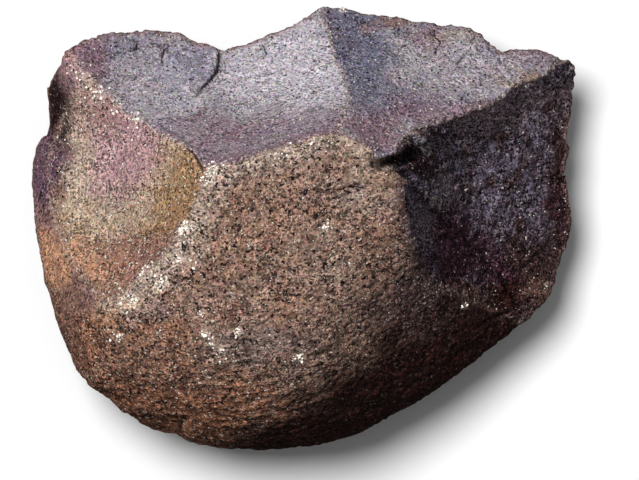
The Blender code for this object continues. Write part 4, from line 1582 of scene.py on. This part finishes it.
    def toned(self, colour: bpy.types.NodeSocket, *grains: bpy.types.Node) -> bpy.types.NodeSocket:
        """Darken and lighten the colour by its grains, and vary its hue a little."""
        sheet = self.sheet
        tone = sheet.product(*(grain.outputs["Tone"] for grain in grains))
        colour = sheet.mix(1.0, colour, tone, "MULTIPLY")
        hues = sheet.noise(sheet.vector("ADD", self.place, self.HUE_SHIFT), 1.1, 3.0, 0.7).outputs[1]
        tint = sheet.vector("ADD", sheet.scaled(hues, self.HUE_SWING), self.HUE_FLOOR)
        return sheet.mix(1.0, colour, tint, "MULTIPLY")

    def glints(self, brightness: bpy.types.NodeSocket) -> bpy.types.NodeSocket:
        """Find the grains that catch the light, most of them by the ridges and the pale rims.

        Args:
            brightness: How brightly they may shine at each place.

        Returns:
            Their mask.
        """
        sheet = self.sheet
        rims = [self.attribute(line.value) for line in (Line.LEFT_RIM, Line.TOP_RIM)]
        by_rim = sheet.rise(sheet.math("MINIMUM", *rims), *self.GLINTS_BY_RIM_MM)
        by_arris = sheet.rise(self.attribute(Line.ARRIS.value), *self.GLINTS_BY_ARRIS_MM)
        near = sheet.math("MAXIMUM", by_arris, by_rim)
        sparse = sheet.product(self.attribute(Patch.RIGHT.value), self.SPARSE_ON_RIGHT)
        level = sheet.math("ADD", sheet.rise(near, 0, 1, *self.GLINT_LEVEL), sparse)
        specks = self.group(self.groups.specks, shift=5.0, size=self.GLINT_MM, level=level)
        # Fewer glints where the heel's painted shade lies.
        shown = sheet.rise(self.heel_shade(), *self.SHADED_GLINTS)
        return sheet.product(specks.outputs[0], brightness, shown)

    def build(self) -> bpy.types.Material:
        """Build the material."""
        sheet, groups, finish = self.sheet, self.groups, self.finish
        skin = self.attribute(Patch.SKIN.value)
        grits = sheet.node("ShaderNodeSeparateColor", {0: self.by_patch(finish.grits())}).outputs
        uneven = sheet.rise(sheet.noise(self.place, 0.22, 2.0).outputs[0], *self.UNEVEN_CURVE)
        swing = sheet.product(grits[0], uneven)
        fine = self.group(groups.grain, size=self.FINE_GRAIN_MM, contrast=swing)
        coarse = self.group(groups.grain, size=self.COARSE_GRAIN_MM,
                            contrast=sheet.product(swing, self.COARSE_SHARE))
        colour = self.toned(self.worn(self.pigments()), fine, coarse)
        # Painted shade: the skin's relief hollows are darkened towards black.
        hollow = sheet.rise(self.attribute("relief_mm"), *self.HOLLOW_MM)
        colour = sheet.mix(sheet.product(hollow, skin, self.HOLLOW_PAINTED_SHADE), colour, finish.pit)
        # Tiny pits as near-black specks, partly their own painted shade.
        pits = self.group(groups.specks, shift=17.0, size=sheet.rise(skin, 0, 1, *self.PIT_MM),
                          level=sheet.rise(skin, 0, 1, *self.PIT_LEVEL))
        pitted = sheet.product(pits.outputs[0], grits[1])
        colour = sheet.mix(pitted, colour, finish.pit)
        glint = self.glints(grits[2])
        colour = sheet.mix(glint, colour, finish.crushed)
        # Painted shade: the cracks darken towards black along their lines.
        colour = sheet.mix(sheet.product(self.cracks(), self.CRACK_PAINTED_SHADE), colour, finish.pit)

        heights = sheet.product(sheet.math("ADD", fine.outputs["Height"], coarse.outputs["Height"]), 0.5)
        heights = sheet.math("SUBTRACT", heights, sheet.product(pitted, self.PIT_BUMP))
        heights = sheet.math("ADD", heights, sheet.product(glint, self.GLINT_BUMP))
        bump = sheet.node("ShaderNodeBump",
                          {"Strength": 1.0, "Distance": self.BUMP_METRES, "Height": heights})
        rough = sheet.rise(fine.outputs["Tone"], *self.ROUGHNESS_CURVE)
        shader = sheet.node("ShaderNodeBsdfPrincipled", {
            "Base Color": colour, "Roughness": rough, "Metallic": 0.0, "Specular IOR Level": self.SPECULAR,
            "Normal": bump.outputs[0]})
        sheet.node("ShaderNodeOutputMaterial", {"Surface": shader.outputs[0]})
        return self.material


def crumb_material(finish: QuartziteFinish, groups: ShaderGroups) -> bpy.types.Material:
    """Make the material of the white crumbs.

    Args:
        finish: The stone's colours.
        groups: The shared shader groups.

    Returns:
        The material.
    """
    material = bpy.data.materials.new("crushed_quartz")
    material.use_nodes = True
    sheet = Sheet(material.node_tree)
    place = sheet.scaled(sheet.node("ShaderNodeTexCoord").outputs["Object"], 1 / MM)
    grain = sheet.node("ShaderNodeGroup", {"Place": place, "Size": 0.6, "Contrast": 0.45},
                       node_tree=groups.grain)
    colour = sheet.mix(1.0, finish.crushed, grain.outputs["Tone"], "MULTIPLY")
    shader = sheet.node("ShaderNodeBsdfPrincipled", {"Base Color": colour, "Roughness": 0.4,
                                                     "Metallic": 0.0})
    sheet.node("ShaderNodeOutputMaterial", {"Surface": shader.outputs[0]})
    return material


@dataclass
class PebbleTool:
    """The stone with everything that lies on it."""

    plan: PhotoPlan
    finish: QuartziteFinish = field(default_factory=QuartziteFinish)
    relief: StoneRelief = field(default_factory=StoneRelief)
    crumbs: QuartzCrumbs = field(default_factory=QuartzCrumbs)

    def build(self) -> list[bpy.types.Object]:
        """Make every piece and hang it on the frame."""
        groups = ShaderGroups()
        stone = StoneMesh(self.plan).build()
        self.relief.apply(stone, StoneMaterial(self.plan, groups, self.finish).build())
        crumbs = self.crumbs.scatter(stone, crumb_material(self.finish, groups))
        stone.name = "pebble_tool_stone"
        stone.data.shade_smooth()
        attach(stone, "root")
        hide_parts(NODE)
        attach(crumbs, "root")
        for piece in (stone, crumbs):
            triangles = sum(len(face.vertices) - 2 for face in piece.data.polygons)
            LOG.info("%s: %d triangles", piece.name, triangles)
        return [stone, crumbs]


@dataclass(frozen=True)
class Sun:
    """A soft lamp that lights either the stone or the floor.

    It shines from a direction, and it fills an angle, in degrees, which softens its shadows.
    """

    name: str
    come_from: tuple[float, float, float]
    strength: float
    spread: float
    on_stone: bool = True


SUNS = (
    Sun("key", (-0.42, 0.38, 0.82), 5.3, 11),
    Sun("front", (0.1, -0.85, 0.5), 0.75, 60),
    Sun("bounce", (0.60, 0.60, 0.53), 0.8, 80),
    Sun("floor_wash", (-0.25, 0.26, 1.0), 3.25, 23, False),
    Sun("floor_haze", (0.0, 0.2, 1.0), 0.42, 60, False),
)


@dataclass(frozen=True)
class Studio:
    """Pale floor, soft light and a camera that looks straight down, as the photograph does."""

    plan: PhotoPlan
    floor_size: float = 3.0
    camera_height: float = 3.0
    sensor: float = 36.0
    focus_height: float = 0.020
    suns: tuple[Sun, ...] = SUNS
    fill: float = 0.08
    floor_tint: Colour = (0.88, 0.88, 0.88)
    floor_glow: float = 0.01

    def build(self, stone: Iterable[bpy.types.Object]) -> None:
        """Make the floor, the lights and the camera.

        Args:
            stone: The pieces that the stone's own lamps light.
        """
        floor = self._floor()
        stone = list(stone)
        for sun in self.suns:
            self._hang(sun, stone if sun.on_stone else [floor])
        world = bpy.data.worlds.new("studio")
        world.use_nodes = True
        background = world.node_tree.nodes["Background"]
        background.inputs["Color"].default_value = (1, 1, 1, 1)
        background.inputs["Strength"].default_value = self.fill
        bpy.context.scene.world = world
        self._camera()

    def _floor(self) -> bpy.types.Object:
        """Lay a plain pale floor."""
        half = self.floor_size / 2
        mesh = bpy.data.meshes.new("floor")
        mesh.from_pydata([(-half, -half, 0), (half, -half, 0), (half, half, 0), (-half, half, 0)], [],
                         [(0, 1, 2, 3)])
        floor = add_object("floor", mesh)
        pale = bpy.data.materials.new("pale_floor")
        pale.use_nodes = True
        shader = pale.node_tree.nodes["Principled BSDF"]
        values = {"Base Color": (*self.floor_tint, 1), "Roughness": 0.9, "Specular IOR Level": 0.1,
                  "Emission Color": (1, 1, 1, 1), "Emission Strength": self.floor_glow}
        for label, value in values.items():
            shader.inputs[label].default_value = value
        mesh.materials.append(pale)
        floor.visible_diffuse = False
        floor.visible_glossy = False
        return floor

    def _hang(self, sun: Sun, lit: Iterable[bpy.types.Object]) -> None:
        """Hang a lamp that lights only some things.

        Args:
            sun: The lamp.
            lit: What it lights.
        """
        lamp = bpy.data.lights.new(sun.name, "SUN")
        lamp.energy = sun.strength
        lamp.angle = math.radians(sun.spread)
        hung = add_object(sun.name, lamp)
        hung.rotation_euler = Vector(sun.come_from).to_track_quat("Z", "Y").to_euler()
        receivers = bpy.data.collections.new(f"{sun.name}_lights")
        for thing in lit:
            receivers.objects.link(thing)
        hung.light_linking.receiver_collection = receivers

    def _camera(self) -> None:
        """Point the camera straight down, so that its frame covers the photograph's."""
        lens = bpy.data.cameras.new("camera")
        across = self.plan.width_px * self.plan.metres_per_pixel
        lens.sensor_width = self.sensor
        lens.lens = self.sensor * (self.camera_height - self.focus_height) / across
        lens.clip_end = 10 * self.camera_height
        camera = add_object("camera", lens)
        x, y = self.plan.place((self.plan.width_px / 2, self.plan.height_px / 2))
        camera.location = (x, y, self.camera_height)
        scene = bpy.context.scene
        scene.camera = camera
        scene.view_settings.view_transform = "Standard"


def main() -> None:
    """Dress the pebble tool and set up the studio."""
    logging.basicConfig(level=logging.INFO, format="%(name)s %(message)s")
    noise.seed_set(NOISE_SEED)
    plan = PhotoPlan(*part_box(NODE))
    pieces = PebbleTool(plan).build()
    Studio(plan).build(pieces)


if __name__ == "__main__":
    main()
